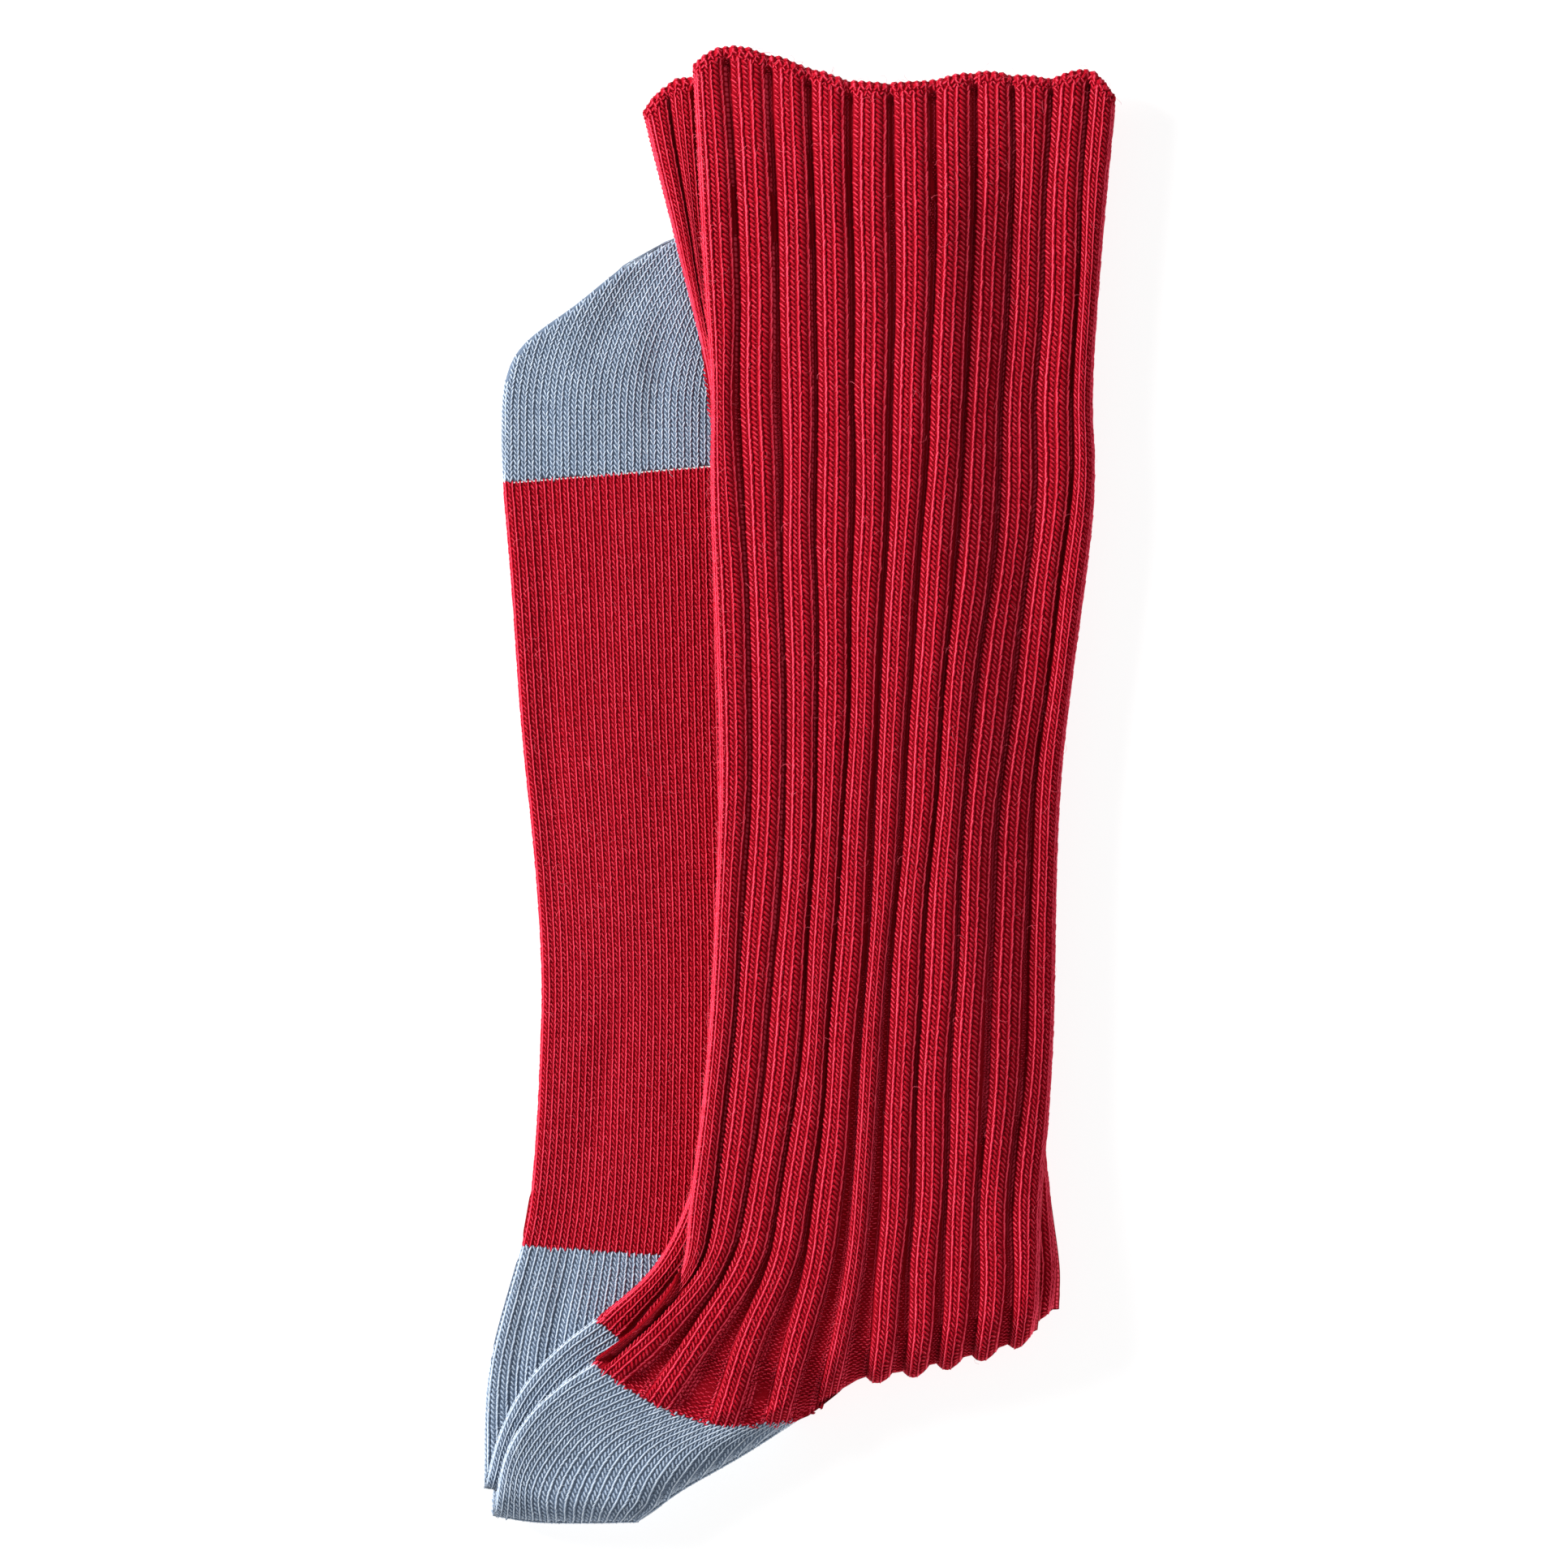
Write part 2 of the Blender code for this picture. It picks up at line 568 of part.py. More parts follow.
def add_heel(sock):
    plan = table_plan(sock.heel_rows, HEEL_COLUMNS, HEEL_COURSES)
    plan[0] = at_length(sock.border, np.array(HEEL_COLUMNS) * lengths(sock.border)[-1])
    plan = shrink(plan, row=0)
    heights = upper_heights(plan, sock)
    add_piece(sock.name + "_heel_upper", with_heights(plan, heights), "blue_grey_cotton")
    plan = table_plan(sock.under_rows, HEEL_COLUMNS, HEEL_COURSES)
    plan[-1] = at_length(sock.pouch_fold, np.array(HEEL_COLUMNS) * lengths(sock.pouch_fold)[-1])
    plan = shrink(plan, row=0, column=-1)
    heights = lower_heights(plan, sock)
    add_piece(sock.name + "_heel_lower", with_heights(plan, heights), "blue_grey_cotton")


# ---------------------------------------------------------------- feet and toes
FLAT_COLUMNS = (0.0, 0.008, 0.03, 0.12, 0.28, 0.4, 0.5, 0.58, 0.66, 0.76, 0.9, 0.97, 0.992, 1.0)
FOOT_STOPS = (15.0, 12.0, 7.6, 5.4, 4.2, 3.0, 1.2)  # distances of the last courses from that end
# Where those columns meet the heel's last course, its gore and the fold.
FOOT_END_STOPS = ((0.0, 0.03, 0.12, 0.45, 1.0), (0.5, 0.75, 0.9, 1.0), (0.3, 0.6, 0.85, 0.96, 1.0))


def add_foot(sock):
    shares = np.array(FLAT_COLUMNS)[:, None]
    plan = []
    for sole_y, instep_y, sole_x, instep_x in FOOT_ROWS:
        sole = np.array([sole_x + sock.inset, sole_y])
        instep = np.array([instep_x - sock.inset, instep_y])
        plan.append(sole + (instep - sole) * shares)
    ends = []
    for stretch, stops in zip(sock.foot_end, FOOT_END_STOPS):
        ends.append(at_length(stretch, np.array(stops) * lengths(stretch)[-1]))
    plan.append(np.concatenate(ends))
    plan = np.stack(plan)
    run = np.linalg.norm(plan[-2] - plan[-1], axis=-1, keepdims=True)
    away = (plan[-2] - plan[-1]) / np.maximum(run, FOOT_STOPS[0])
    steps = [plan[-1] + away * stop for stop in FOOT_STOPS[1:]]
    plan = np.concatenate([plan[:-1], np.stack(steps), plan[-1:]])
    pouch = sum(len(stops) for stops in FOOT_END_STOPS[:2])
    back = plan[-2, :pouch] - plan[-1, :pouch]
    plan[-1, :pouch] += back / np.linalg.norm(back, axis=-1, keepdims=True) * SEAM_GAP / 2
    add_piece(sock.name + "_foot", with_heights(plan, lower_heights(plan, sock)), "cherry_red_cotton")


def add_toe(sock):
    shares = np.array(FLAT_COLUMNS)[:, None]
    plan = []
    for sole_y, instep_y, sole_x, instep_x in TOE_ROWS[::-1]:
        sole = np.array([sole_x + sock.inset, sole_y])
        instep = np.array([instep_x - sock.inset, instep_y])
        plan.append(sole + (instep - sole) * shares)
    plan = np.stack(plan)
    add_piece(sock.name + "_toe", with_heights(plan, lower_heights(plan, sock)), "blue_grey_cotton")


def main():
    for old in list(bpy.data.objects):
        bpy.data.objects.remove(old)
    for sock in SOCKS.values():
        if sock.outer:
            add_leg(sock, lambda rib: True)
        else:
            add_leg(sock, lambda rib: rib < 2 or rib == LEG_RIBS - 1)
        add_heel(sock)
        add_foot(sock)
        add_toe(sock)


main()
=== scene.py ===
"""Looks of a pair of rib socks, laid one in the other and folded once at the heel.

Each stretch of a sock is a thin knitted tube on its solid's form, and the knitting that shows is
made stitch by stitch: a stitch is two short strands of yarn that meet in a V. Sizes are in
millimetres until a mesh is made. +Z is up, +Y points to the cuffs, -X is the side of the soles.
"""

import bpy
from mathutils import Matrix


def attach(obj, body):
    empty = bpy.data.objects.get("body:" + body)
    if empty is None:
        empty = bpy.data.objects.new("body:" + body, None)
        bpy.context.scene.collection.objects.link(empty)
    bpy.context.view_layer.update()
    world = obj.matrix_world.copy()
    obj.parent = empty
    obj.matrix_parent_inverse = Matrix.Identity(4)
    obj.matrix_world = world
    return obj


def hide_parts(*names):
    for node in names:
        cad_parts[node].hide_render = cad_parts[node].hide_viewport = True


bl_info = {
    "name": "Rib socks",
    "version": (1, 0, 0),
    "blender": (4, 5, 0),
    "location": "3D View > Sidebar > Socks",
    "description": "Knits a folded pair of rib socks on its packed model",
    "category": "Add Mesh",
}

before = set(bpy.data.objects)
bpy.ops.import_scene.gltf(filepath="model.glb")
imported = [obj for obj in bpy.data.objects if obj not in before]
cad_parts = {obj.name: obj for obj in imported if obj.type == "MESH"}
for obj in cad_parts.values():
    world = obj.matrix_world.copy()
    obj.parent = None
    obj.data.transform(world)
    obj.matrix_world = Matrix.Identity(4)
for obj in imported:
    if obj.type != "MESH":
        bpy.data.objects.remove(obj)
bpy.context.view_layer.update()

from functools import partial

import bpy
import numpy as np
from mathutils import Vector

MM = 0.001

# ---------------------------------------------------------------- driving sizes, millimetres
RIB_TUBE = 5.0  # both walls of a ribbed leg, lying flat
PLAIN_TUBE = 2.8  # both walls of plain knitting, lying flat
SEAM_GAP = 0.3  # between pieces and between layers
LEG_GAP = 0.45  # between the two legs, whose surfaces are uneven
RIB_FADE = 7.0  # length over which ribs and thickness fade into the heel
CLOSED_EDGE = 0.12  # share of a wall's height that is left at its round edge
RIB_NARROW = 3.0  # a rib seen edge on is flatter below this width
RIB_FOLD_FADE = 2.5  # length over which ribs fade at the fold
POUCH_RIM = 0.8  # a point this near a heel pouch's rim is part of it
NOSE_WALL = 3.0  # the outer sock's cloth where it wraps round the fold
THIN_NOSE = {"upper": 1.0, "lower": 0.5}  # least half height of the outer sock at the fold
NOSE_REACH = {"leg": 7.4, "heel": 6.0}  # plan length of the outer sock's bend
INNER_REACH = {"leg": 4.2, "heel": 3.2}  # the same for the inner sock
BEND_CHANGE = (-12.0, 4.0)  # the fold changes from heel to leg between these X
SIDE_DROOP = 21.0  # the legs sink to the table over this width beside the feet
CUFF_DROOP = 28.0  # and over this length beyond the toes
TOE_REACH = 107.0  # Y of the toes' ends
LEG_RIBS = 11  # ribs that show across a flat leg
FOLD_SIGHT = 10.0  # distances to the fold are measured up to this
FOLD_POINTS = 41  # on the lower heel's last course, along the fold
FAR = 500.0  # farther than any two points of the socks
TINY = 1e-9  # keeps a length of nothing from dividing
FOOT_TOP = 2 * PLAIN_TUBE + SEAM_GAP  # top of the two feet

# ---------------------------------------------------------------- the outer sock's leg
# A row for each of its edges and rib valleys, from the back edge to the front edge: the height
# of the cuff there, X at the cuff and at the seven lower heights, a point in the ankle's bend,
# and the point where the line reaches the heel or the fold.
LEG_HEIGHTS = (132.0, 99.0, 75.5, 51.0, 1.0, -48.5, -79.5, -92.0)
OUTER_LEG_LINES = (
    # cuff,  X at LEG_HEIGHTS,                                         bend,            end
    (137.5, (-20.5, -18.5, -17.0, -17.0, -15.5, -17.5, -21.0, -22.5), (-28.5, -101.5), (-39.5, -110.5)),
    (141.0, (-14.0, -12.0, -12.5, -11.0, -9.5, -13.0, -16.5, -19.5), (-27.8, -102.2), (-38.6, -111.4)),
    (139.5, (-6.0, -4.5, -4.0, -3.5, -3.0, -6.5, -10.5, -14.0), (-22.0, -103.4), (-33.0, -115.4)),
    (137.0, (1.5, 2.5, 3.0, 3.0, 3.0, 0.0, -4.0, -7.0), (-13.5, -104.4), (-21.2, -121.2)),
    (134.5, (9.5, 10.0, 10.0, 10.0, 8.5, 5.5, 2.0, 0.0), (-4.8, -106.2), (-8.7, -122.6)),
    (134.0, (17.0, 17.5, 17.5, 16.5, 14.0, 11.0, 8.5, 7.0), (3.5, -107.0), (-0.5, -121.5)),
    (134.5, (25.0, 25.5, 24.5, 23.5, 20.0, 16.5, 15.0, 14.0), (12.5, -104.0), (11.0, -113.5)),
    (136.0, (33.5, 33.0, 31.5, 30.5, 26.0, 22.5, 21.5, 20.5), (20.0, -103.5), (19.0, -112.0)),
    (135.5, (41.0, 40.0, 38.5, 37.5, 32.0, 29.0, 27.5, 27.0), (26.5, -102.5), (25.5, -110.5)),
    (135.0, (48.0, 46.5, 45.0, 44.5, 38.5, 35.5, 34.0, 33.5), (33.0, -101.5), (32.0, -109.0)),
    (136.5, (55.0, 53.0, 52.0, 51.5, 45.0, 43.0, 40.5, 40.5), (40.0, -100.0), (39.0, -107.0)),
    (131.5, (60.5, 57.5, 56.0, 56.0, 50.0, 48.5, 46.5, 46.0), (46.0, -99.0), (45.5, -104.0)),
)

# ---------------------------------------------------------------- the inner sock's leg
# A row for each course: its height, the back edge, the width of the two ribs there, and the
# front edge. Each line starts at its own height in INNER_CUFF and ends at its point in INNER_END.
INNER_LEG_ROWS = (
    # height, back, rib, front
    (129.0, -30.0, 4.6, 51.0),
    (119.0, -27.6, 4.2, 52.5),
    (99.0, -22.5, 2.4, 53.0),
    (75.5, -17.2, 1.6, 52.5),
    (51.0, -16.2, 2.0, 52.0),
    (1.0, -14.8, 3.0, 47.0),
    (-48.5, -17.0, 4.5, 46.0),
    (-67.0, -18.8, 5.0, 46.8),
    (-79.5, -21.6, 5.2, 48.2),
    (-92.0, -28.0, 5.2, 49.8),
)
INNER_CUFF = (128.5, 133.5, 135.0, 134.0, 133.0, 132.0, 131.5, 131.5, 131.5, 131.0, 130.5, 128.0)
INNER_END = (
    (-39.0, -102.0),
    (-34.5, -106.0),
    (-29.0, -110.0),
    (-20.0, -114.5),
    (-11.0, -117.2),
    (-3.5, -116.5),
    (8.5, -109.2),
    (18.0, -107.5),
    (26.0, -106.0),
    (34.0, -104.0),
    (41.5, -101.0),
    (49.6, -100.0),
)
GORE_LINE = 5  # the valley that ends where the heel's border meets the fold

# ---------------------------------------------------------------- the heel pouches
# A row for each course below the border, down to the fold, and in it the points from the back
# edge to the edge where the heel wraps under.
OUTER_HEEL_ROWS = (
    ((-46.0, -115.0), (-39.5, -123.0), (-26.5, -127.0), (-11.0, -128.2)),
    ((-52.0, -120.8), (-46.5, -128.5), (-34.5, -131.5), (-22.0, -134.5)),
    ((-56.3, -128.5), (-50.5, -134.5), (-39.0, -136.5), (-27.5, -138.4)),
    ((-58.5, -139.6), (-50.5, -140.8), (-40.5, -141.0), (-31.0, -140.8)),
)
INNER_HEEL_ROWS = (
    ((-45.8, -107.3), (-39.0, -115.5), (-27.0, -121.0), (-13.0, -123.0)),
    ((-52.3, -114.3), (-46.0, -122.0), (-35.0, -126.5), (-23.5, -129.6)),
    ((-57.0, -123.2), (-51.0, -129.0), (-41.0, -131.5), (-29.5, -133.4)),
    ((-60.2, -134.3), (-52.0, -135.3), (-43.0, -135.6), (-33.5, -135.4)),
)
# The lower half of a pouch: its last course before the foot, and one half way to the fold.
OUTER_UNDER_ROWS = (
    ((-52.4, -88.0), (-43.55, -88.6), (-34.7, -89.2), (-25.85, -89.8), (-17.0, -90.4)),
    ((-57.8, -113.0), (-47.5, -114.0), (-36.5, -113.5), (-23.5, -109.5), (-8.7, -106.0)),
)
INNER_UNDER_ROWS = (
    ((-53.0, -88.0), (-44.0, -88.6), (-35.0, -89.2), (-26.0, -89.8), (-17.0, -90.4)),
    ((-59.2, -112.0), (-48.5, -112.5), (-37.0, -112.0), (-24.0, -108.5), (-10.0, -103.5)),
)

# ---------------------------------------------------------------- feet and toes
# A row for each course from the toe to the heel: its height at the sole and at the instep, and
# X at the sole's edge and at the instep's edge.
FOOT_ROWS = (
    # sole Y, instep Y, sole X, instep X
    (57.5, 64.0, -56.6, 23.5),
    (38.5, 40.0, -55.0, 25.0),
    (10.5, 10.0, -53.0, 27.0),
    (-14.5, -15.0, -50.5, 27.5),
    (-35.5, -40.0, -49.2, 28.5),
    (-54.5, -60.0, -49.6, 30.5),
    (-74.0, -78.0, -50.8, 36.0),
)
# The same sizes nearer the fold, for what the legs lie on there.
SUPPORT_END = ((-90.0, -90.0, -55.0, 41.0), (-104.0, -104.0, -60.0, 46.0))
TOE_ROWS = (
    (57.8, 64.3, -56.6, 23.5),
    (67.0, 76.0, -57.0, 22.0),
    (77.5, 86.5, -56.2, 17.5),
    (84.5, 94.0, -52.5, 11.5),
    (92.0, 100.0, -42.6, 3.5),
    (99.5, 104.5, -33.0, -6.0),
    (106.4, 107.0, -20.5, -13.5),
)
TOE_TIP = (-17.0, 107.2)  # the middle of the toes' ends
OUTER_SOLE_INSET = 0.7  # the lower foot lies this much inside the upper one

# ---------------------------------------------------------------- curves and grids
def between(before, here, there, after, t):
    """Point of a Catmull-Rom curve from the second of four points, at t = 0, to the third."""
    return 0.5 * (
        2 * here
        + (there - before) * t
        + (2 * before - 5 * here + 4 * there - after) * t**2
        + (3 * here - before - 3 * there + after) * t**3
    )


def spline(points, where):
    """Points on a Catmull-Rom curve; `where` counts the given points from 0."""
    points = np.asarray(points, float)
    last = len(points) - 1
    ends = np.vstack([2 * points[0] - points[1], points, 2 * points[-1] - points[-2]])
    where = np.clip(np.asarray(where, float), 0, last)
    start = np.minimum(where.astype(int), last - 1)
    return between(*(ends[start + n] for n in range(4)), (where - start)[:, None])


def dense(points, steps=12):
    """A smooth curve through the points, as a fine polyline."""
    return spline(points, np.linspace(0, len(points) - 1, (len(points) - 1) * steps + 1))


def lengths(line):
    """Distance along a polyline at each of its points."""
    return np.concatenate([[0], np.cumsum(np.linalg.norm(np.diff(line, axis=0), axis=1))])


def at_length(line, distance):
    """Points of a polyline at these distances from its start."""
    along = lengths(line)
    return np.stack([np.interp(distance, along, line[:, axis]) for axis in (0, 1)], axis=-1)


def at_share(line, shares):
    """Points of a polyline at these shares of its length."""
    return at_length(line, shares * lengths(line)[-1])


def nearest(points, line, reach=FAR):
    """Plan distance from each point to a polyline; no more than the reach is looked for."""
    close = ((points > line.min(0) - reach) & (points < line.max(0) + reach)).all(-1)
    x, y = np.asarray(points[close], np.float32).T[..., None]
    x0, y0 = line[:-1].T.astype(np.float32)
    run_x, run_y = np.diff(line, axis=0).T.astype(np.float32)
    x, y = x - x0, y - y0
    share = np.clip((x * run_x + y * run_y) / np.maximum(run_x**2 + run_y**2, TINY), 0, 1)
    x -= share * run_x
    y -= share * run_y
    distance = np.full(points.shape[:-1], float(reach))
    distance[close] = np.minimum(np.sqrt((x * x + y * y).min(-1)), reach)
    return distance


def edge_share(points, line, radius):
    """Share of the full height at points inside a round edge along a polyline."""
    return rounded(nearest(points, line, radius), radius)


def unit(vectors):
    """Vectors made one long."""
    return vectors / np.maximum(np.linalg.norm(vectors, axis=-1, keepdims=True), TINY)


def ease(value):
    """Smooth step from 0 to 1."""
    t = np.clip(value, 0, 1)
    return t * t * (3 - 2 * t)


def change(value, start, width):
    """Smooth step from 0 at the start to 1 after the width."""
    return ease((value - start) / width)


def quarter_round(distance, radius):
    """Height of a quarter circle, from 0 at its edge to 1."""
    return np.sqrt(1 - (1 - np.clip(distance / radius, 0, 1)) ** 2)


def rounded(distance, radius):
    """Share of the full height at this distance inside a round edge."""
    return np.maximum(quarter_round(distance, radius), CLOSED_EDGE)


# ---------------------------------------------------------------- plan curves of each sock
def outer_leg_lines():
    """The outer leg's edges and valleys as fine polylines, from the cuff down."""
    lines = []
    for cuff, across, bend, end in OUTER_LEG_LINES:
        points = [(across[0], cuff)]
        points += [(x, y) for x, y in zip(across[1:], LEG_HEIGHTS[1:])]
        lines.append(dense(points + [bend, end]))
    return lines


def inner_leg_lines():
    """The inner leg's edges and valleys: two ribs of a given width, then equal ones."""
    lines = []
    for number in range(LEG_RIBS + 1):
        points = []
        for height, back, rib, front in INNER_LEG_ROWS:
            pitch = (front - back - 2 * rib) / (LEG_RIBS - 2)
            x = back + rib * min(number, 2) + pitch * max(number - 2, 0)
            points.append((x, height))
        points[0] = (points[0][0], INNER_CUFF[number])
        lines.append(dense(points + [INNER_END[number]]))
    return lines


def column(rows, number):
    """One point of each row."""
    return [row[number] for row in rows]


class Sock:
    """The plan curves and layer heights of one sock."""

    def __init__(self, name, leg_lines, heel_rows, under_rows, inset):
        self.name = name
        self.outer = name == "outer"
        self.leg_lines = leg_lines
        self.leg_length = np.mean([lengths(line)[-1] for line in leg_lines])
        self.inset = inset
        self.border = dense(column(leg_lines[: GORE_LINE + 1], -1))
        first = at_share(self.border, np.linspace(0, 1, len(heel_rows[0])))
        self.heel_rows = [first] + [np.array(row) for row in heel_rows]
        self.back_edge = np.vstack([leg_lines[0], dense(column(self.heel_rows, 0))])
        self.front_edge = leg_lines[-1]
        cuff, end = column(leg_lines, 0), column(leg_lines, -1)
        self.leg_outline = np.vstack([leg_lines[0], end, self.front_edge[::-1], cuff[::-1], cuff[:1]])
        wrap = dense(column(self.heel_rows, -1))
        self.pouch_fold = np.vstack([dense(heel_rows[-1]), wrap[-2::-1]])
        ankle = dense(column(leg_lines[GORE_LINE:], -1))
        self.fold = np.vstack([self.pouch_fold, ankle[1:]])
        back = dense(column(self.heel_rows, 0))
        self.pouch_rim = np.vstack([wrap, dense(heel_rows[-1])[-2::-1], back[-2::-1]])
        self.pouch = np.vstack([self.border, self.pouch_rim[1:]])
        last = at_share(self.pouch_fold, np.linspace(0, 1, FOLD_POINTS))
        self.under_rows = [np.array(row) for row in under_rows] + [last]
        gore = dense(column(self.under_rows, -1))
        self.foot_end = (dense(under_rows[0]), gore, ankle)
        self.sole_edge = self.lower_edge(at_sole=True)
        self.instep_edge = self.lower_edge(at_sole=False)

    def lines_at(self, shares):
        """Points of the leg's lines at these shares of their lengths."""
        return np.stack([at_share(line, shares) for line in self.leg_lines], axis=1)

    def lower_edge(self, at_sole):
        """The lower tube's edge at the sole or the instep, from the toe's end to the fold."""
        rows = TOE_ROWS[::-1] + FOOT_ROWS[1:]
        if at_sole:
            points = [(sole_x + self.inset, sole_y) for sole_y, _, sole_x, _ in rows]
            points += column(self.under_rows, 0)
        else:
            points = [(instep_x - self.inset, instep_y) for _, instep_y, _, instep_x in rows]
            points += [self.foot_end[-1][-1]]
        return dense(points, steps=6)


SOCKS = {
    "outer": Sock("outer", outer_leg_lines(), OUTER_HEEL_ROWS, OUTER_UNDER_ROWS, OUTER_SOLE_INSET),
    "inner": Sock("inner", inner_leg_lines(), INNER_HEEL_ROWS, INNER_UNDER_ROWS, 0.0),
}
TOE_SOLE = [(sole_x, sole_y) for sole_y, _, sole_x, _ in TOE_ROWS]
TOE_INSTEP = [(instep_x, instep_y) for _, instep_y, _, instep_x in TOE_ROWS[::-1]]
TOE_CAP = dense(TOE_SOLE[-2:] + [TOE_TIP] + TOE_INSTEP[:2])  # where the toe is closed
TOE_END = dense(TOE_SOLE[2:] + [TOE_TIP] + TOE_INSTEP[:2])  # and its round corner with it
TOE_OUTLINE = np.vstack([dense(TOE_SOLE + TOE_INSTEP), TOE_SOLE[:1]])


# ---------------------------------------------------------------- heights of the layers
def bend(points, table):
    """A fold size that changes from the heel's value to the leg's."""
    low, high = BEND_CHANGE
    share = ease((points[..., 0] - low) / (high - low))
    return table["heel"] + (table["leg"] - table["heel"]) * share


def on_feet(points):
    """Height of what the legs lie on: the feet, then down to the table beside them."""
    rows = sorted((row[1], row[3]) for row in FOOT_ROWS + SUPPORT_END)
    edge = np.interp(points[..., 1], *zip(*rows))
    side = 1 - ease((points[..., 0] - edge) / SIDE_DROOP)
    cuff = 1 - ease((points[..., 1] - TOE_REACH) / CUFF_DROOP)
    return (FOOT_TOP + SEAM_GAP) * side * cuff


def within(points, outline):
    """Whether each point lies inside a closed plan outline."""
    inside = ((points > outline.min(0)) & (points < outline.max(0))).all(-1)
    x, y = np.asarray(points[inside], np.float32).T[..., None]
    (x0, y0), (x1, y1) = outline[:-1].T.astype(np.float32), outline[1:].T.astype(np.float32)
    rise = np.where(y1 == y0, 1.0, y1 - y0)
    crosses = ((y0 > y) != (y1 > y)) & (x < x0 + (y - y0) * ((x1 - x0) / rise))
    inside[inside] = crosses.sum(-1) % 2 == 1
    return inside


def leg_share(points, sock, fade=RIB_FADE):
    """0 in the heel and 1 in the leg, with a soft change along the border."""
    borders = [nearest(points, one.border, fade) for one in (sock, SOCKS["outer"])]
    share = ease(np.minimum(*borders) / fade)
    for one in (sock, SOCKS["outer"]):
        heel = within(points, one.pouch) | (nearest(points, one.pouch_rim, 2 * POUCH_RIM) < POUCH_RIM)
        share = np.where(heel, 0.0, share)
    return share


def upper_thickness(points, sock, fade=RIB_FADE):
    """Both walls of a sock's leg and upper heel."""
    return PLAIN_TUBE + (RIB_TUBE - PLAIN_TUBE) * leg_share(points, sock, fade)


def upper_base(points, sock):
    """Underside of a sock's upper tube, before its edges are rounded."""
    base = on_feet(points)
    if sock.outer:
        base = base + upper_thickness(points, SOCKS["inner"]) + LEG_GAP
    return base


def equator(points):
    """Height at which the outer sock's upper and lower tubes meet along the fold."""
    inner = SOCKS["inner"]
    return (PLAIN_TUBE + 2 * SEAM_GAP + FOOT_TOP + upper_thickness(points, inner)) / 2


def wrapped(points, fold, outside, inside, least):
    """Distances from the seam to the outer sock's two surfaces, where it wraps round the fold."""
    reach = bend(points, NOSE_REACH)
    outside = np.maximum(outside, least) * rounded(fold, reach)
    return outside, inside * quarter_round(fold - NOSE_WALL, reach - NOSE_WALL)


def upper_heights(points, sock, fade=RIB_FADE):
    """Top and underside of a sock's leg and upper heel, without ribs."""
    thick = upper_thickness(points, sock, fade)
    half = thick / 2
    middle = upper_base(points, sock) + half
    half_most = float(half.max())
    edge = rounded(nearest(points, sock.back_edge, half_most), half)
    edge = edge * rounded(nearest(points, sock.front_edge, half_most), half)
    top = middle + half * edge
    low = middle - half * edge
    fold = nearest(points, sock.fold, FOLD_SIGHT)
    if sock.outer:
        seam = equator(points) + SEAM_GAP / 2
        top, low = wrapped(points, fold, top - seam, low - seam, THIN_NOSE["upper"])
        top, low = seam + top, seam + low
    else:
        low = np.where(fold < NOSE_WALL, FOOT_TOP + SEAM_GAP, low)
        top = low + (top - low) * rounded(fold, bend(points, INNER_REACH))
    return top, low


def lower_heights(points, sock):
    """Top and underside of a sock's foot, toe and lower heel."""
    base = 0.0 if sock.outer else PLAIN_TUBE + SEAM_GAP
    half = PLAIN_TUBE / 2
    fold = nearest(points, sock.fold, FOLD_SIGHT)
    edge = edge_share(points, sock.sole_edge, half) * edge_share(points, sock.instep_edge, half)
    edge = edge * edge_share(points, TOE_CAP, half)
    top = base + half + half * edge
    low = base + half - half * edge
    if sock.outer:
        seam = equator(points) - SEAM_GAP / 2
        low, top = wrapped(points, fold, seam - low, seam - top, THIN_NOSE["lower"])
        low, top = seam - low, seam - top
    else:
        low = top - (top - low) * rounded(fold, bend(points, INNER_REACH))
    return top, low


def down_grid(plan, courses):
    """Points down a grid's columns at these shares of its rows, smooth from row to row."""
    places = np.array(courses) * (len(plan) - 1)
    return np.stack([spline(plan[:, c], places) for c in range(plan.shape[1])], axis=1)


def table_plan(rows, columns, courses):
    """A grid through a table of points, smooth both ways."""
    return down_grid(np.stack([spline(row, np.array(columns) * (len(row) - 1)) for row in rows]), courses)


# ---------------------------------------------------------------- the knitting
COURSE = 0.97  # height of a stitch
JERSEY_WALE = 1.37  # width of a stitch in plain knitting
QUARTER = 0.25  # a stitch's slope is taken over this share of its wale to each side

# The ribs. A place counts from -1 to 1 across a rib, and on to -2 or 2 at the middle of a valley.
PLAIN_WALES = 3  # on a rib's crown
RIB_PITCH = 5  # wales from rib to rib
RIB_WALES = (-0.61, 0.03, 0.67)  # places of the three plain wales
RIB_WALE_STEP = 0.64  # from one to the next
RIB_WALE_REACH = 0.10  # a stitch's slope is taken over this step to each side
RIB_SHARE = 0.95  # share of a rib's pitch that its three plain wales and its flanks take
RIB_LIMITS = ((0.0, 7.1), (0.3, 6.8), (0.7, 6.3), (0.9, 5.8), (1.0, 5.2))  # most, along the leg
RIB_RELIEF = 2.3  # from a rib's crown down to the valley's floor
RELIEF_LIMIT = 0.36  # most of it, as a share of the pitch
INNER_RELIEF = 0.6  # share of it that the inner leg has
CROWN_POWER = 2.4  # keeps a rib's crown flat and its flanks steep
LEAST_PITCH = 0.05  # where two lines of a leg meet
RIB_WANDER = 0.45  # how far a valley strays from its even line
WANDER_WAVES = (6.3, 11.0, 23.0)  # lengths of its waves, each over a radian
WANDER_END = 0.12  # it dies out over this last share of the leg
FOLD_LOBE = 1.9  # how far a rib's crown stands out past its valleys at the fold
LOBE_SHARE = 0.035  # last share of the leg that a lobe takes
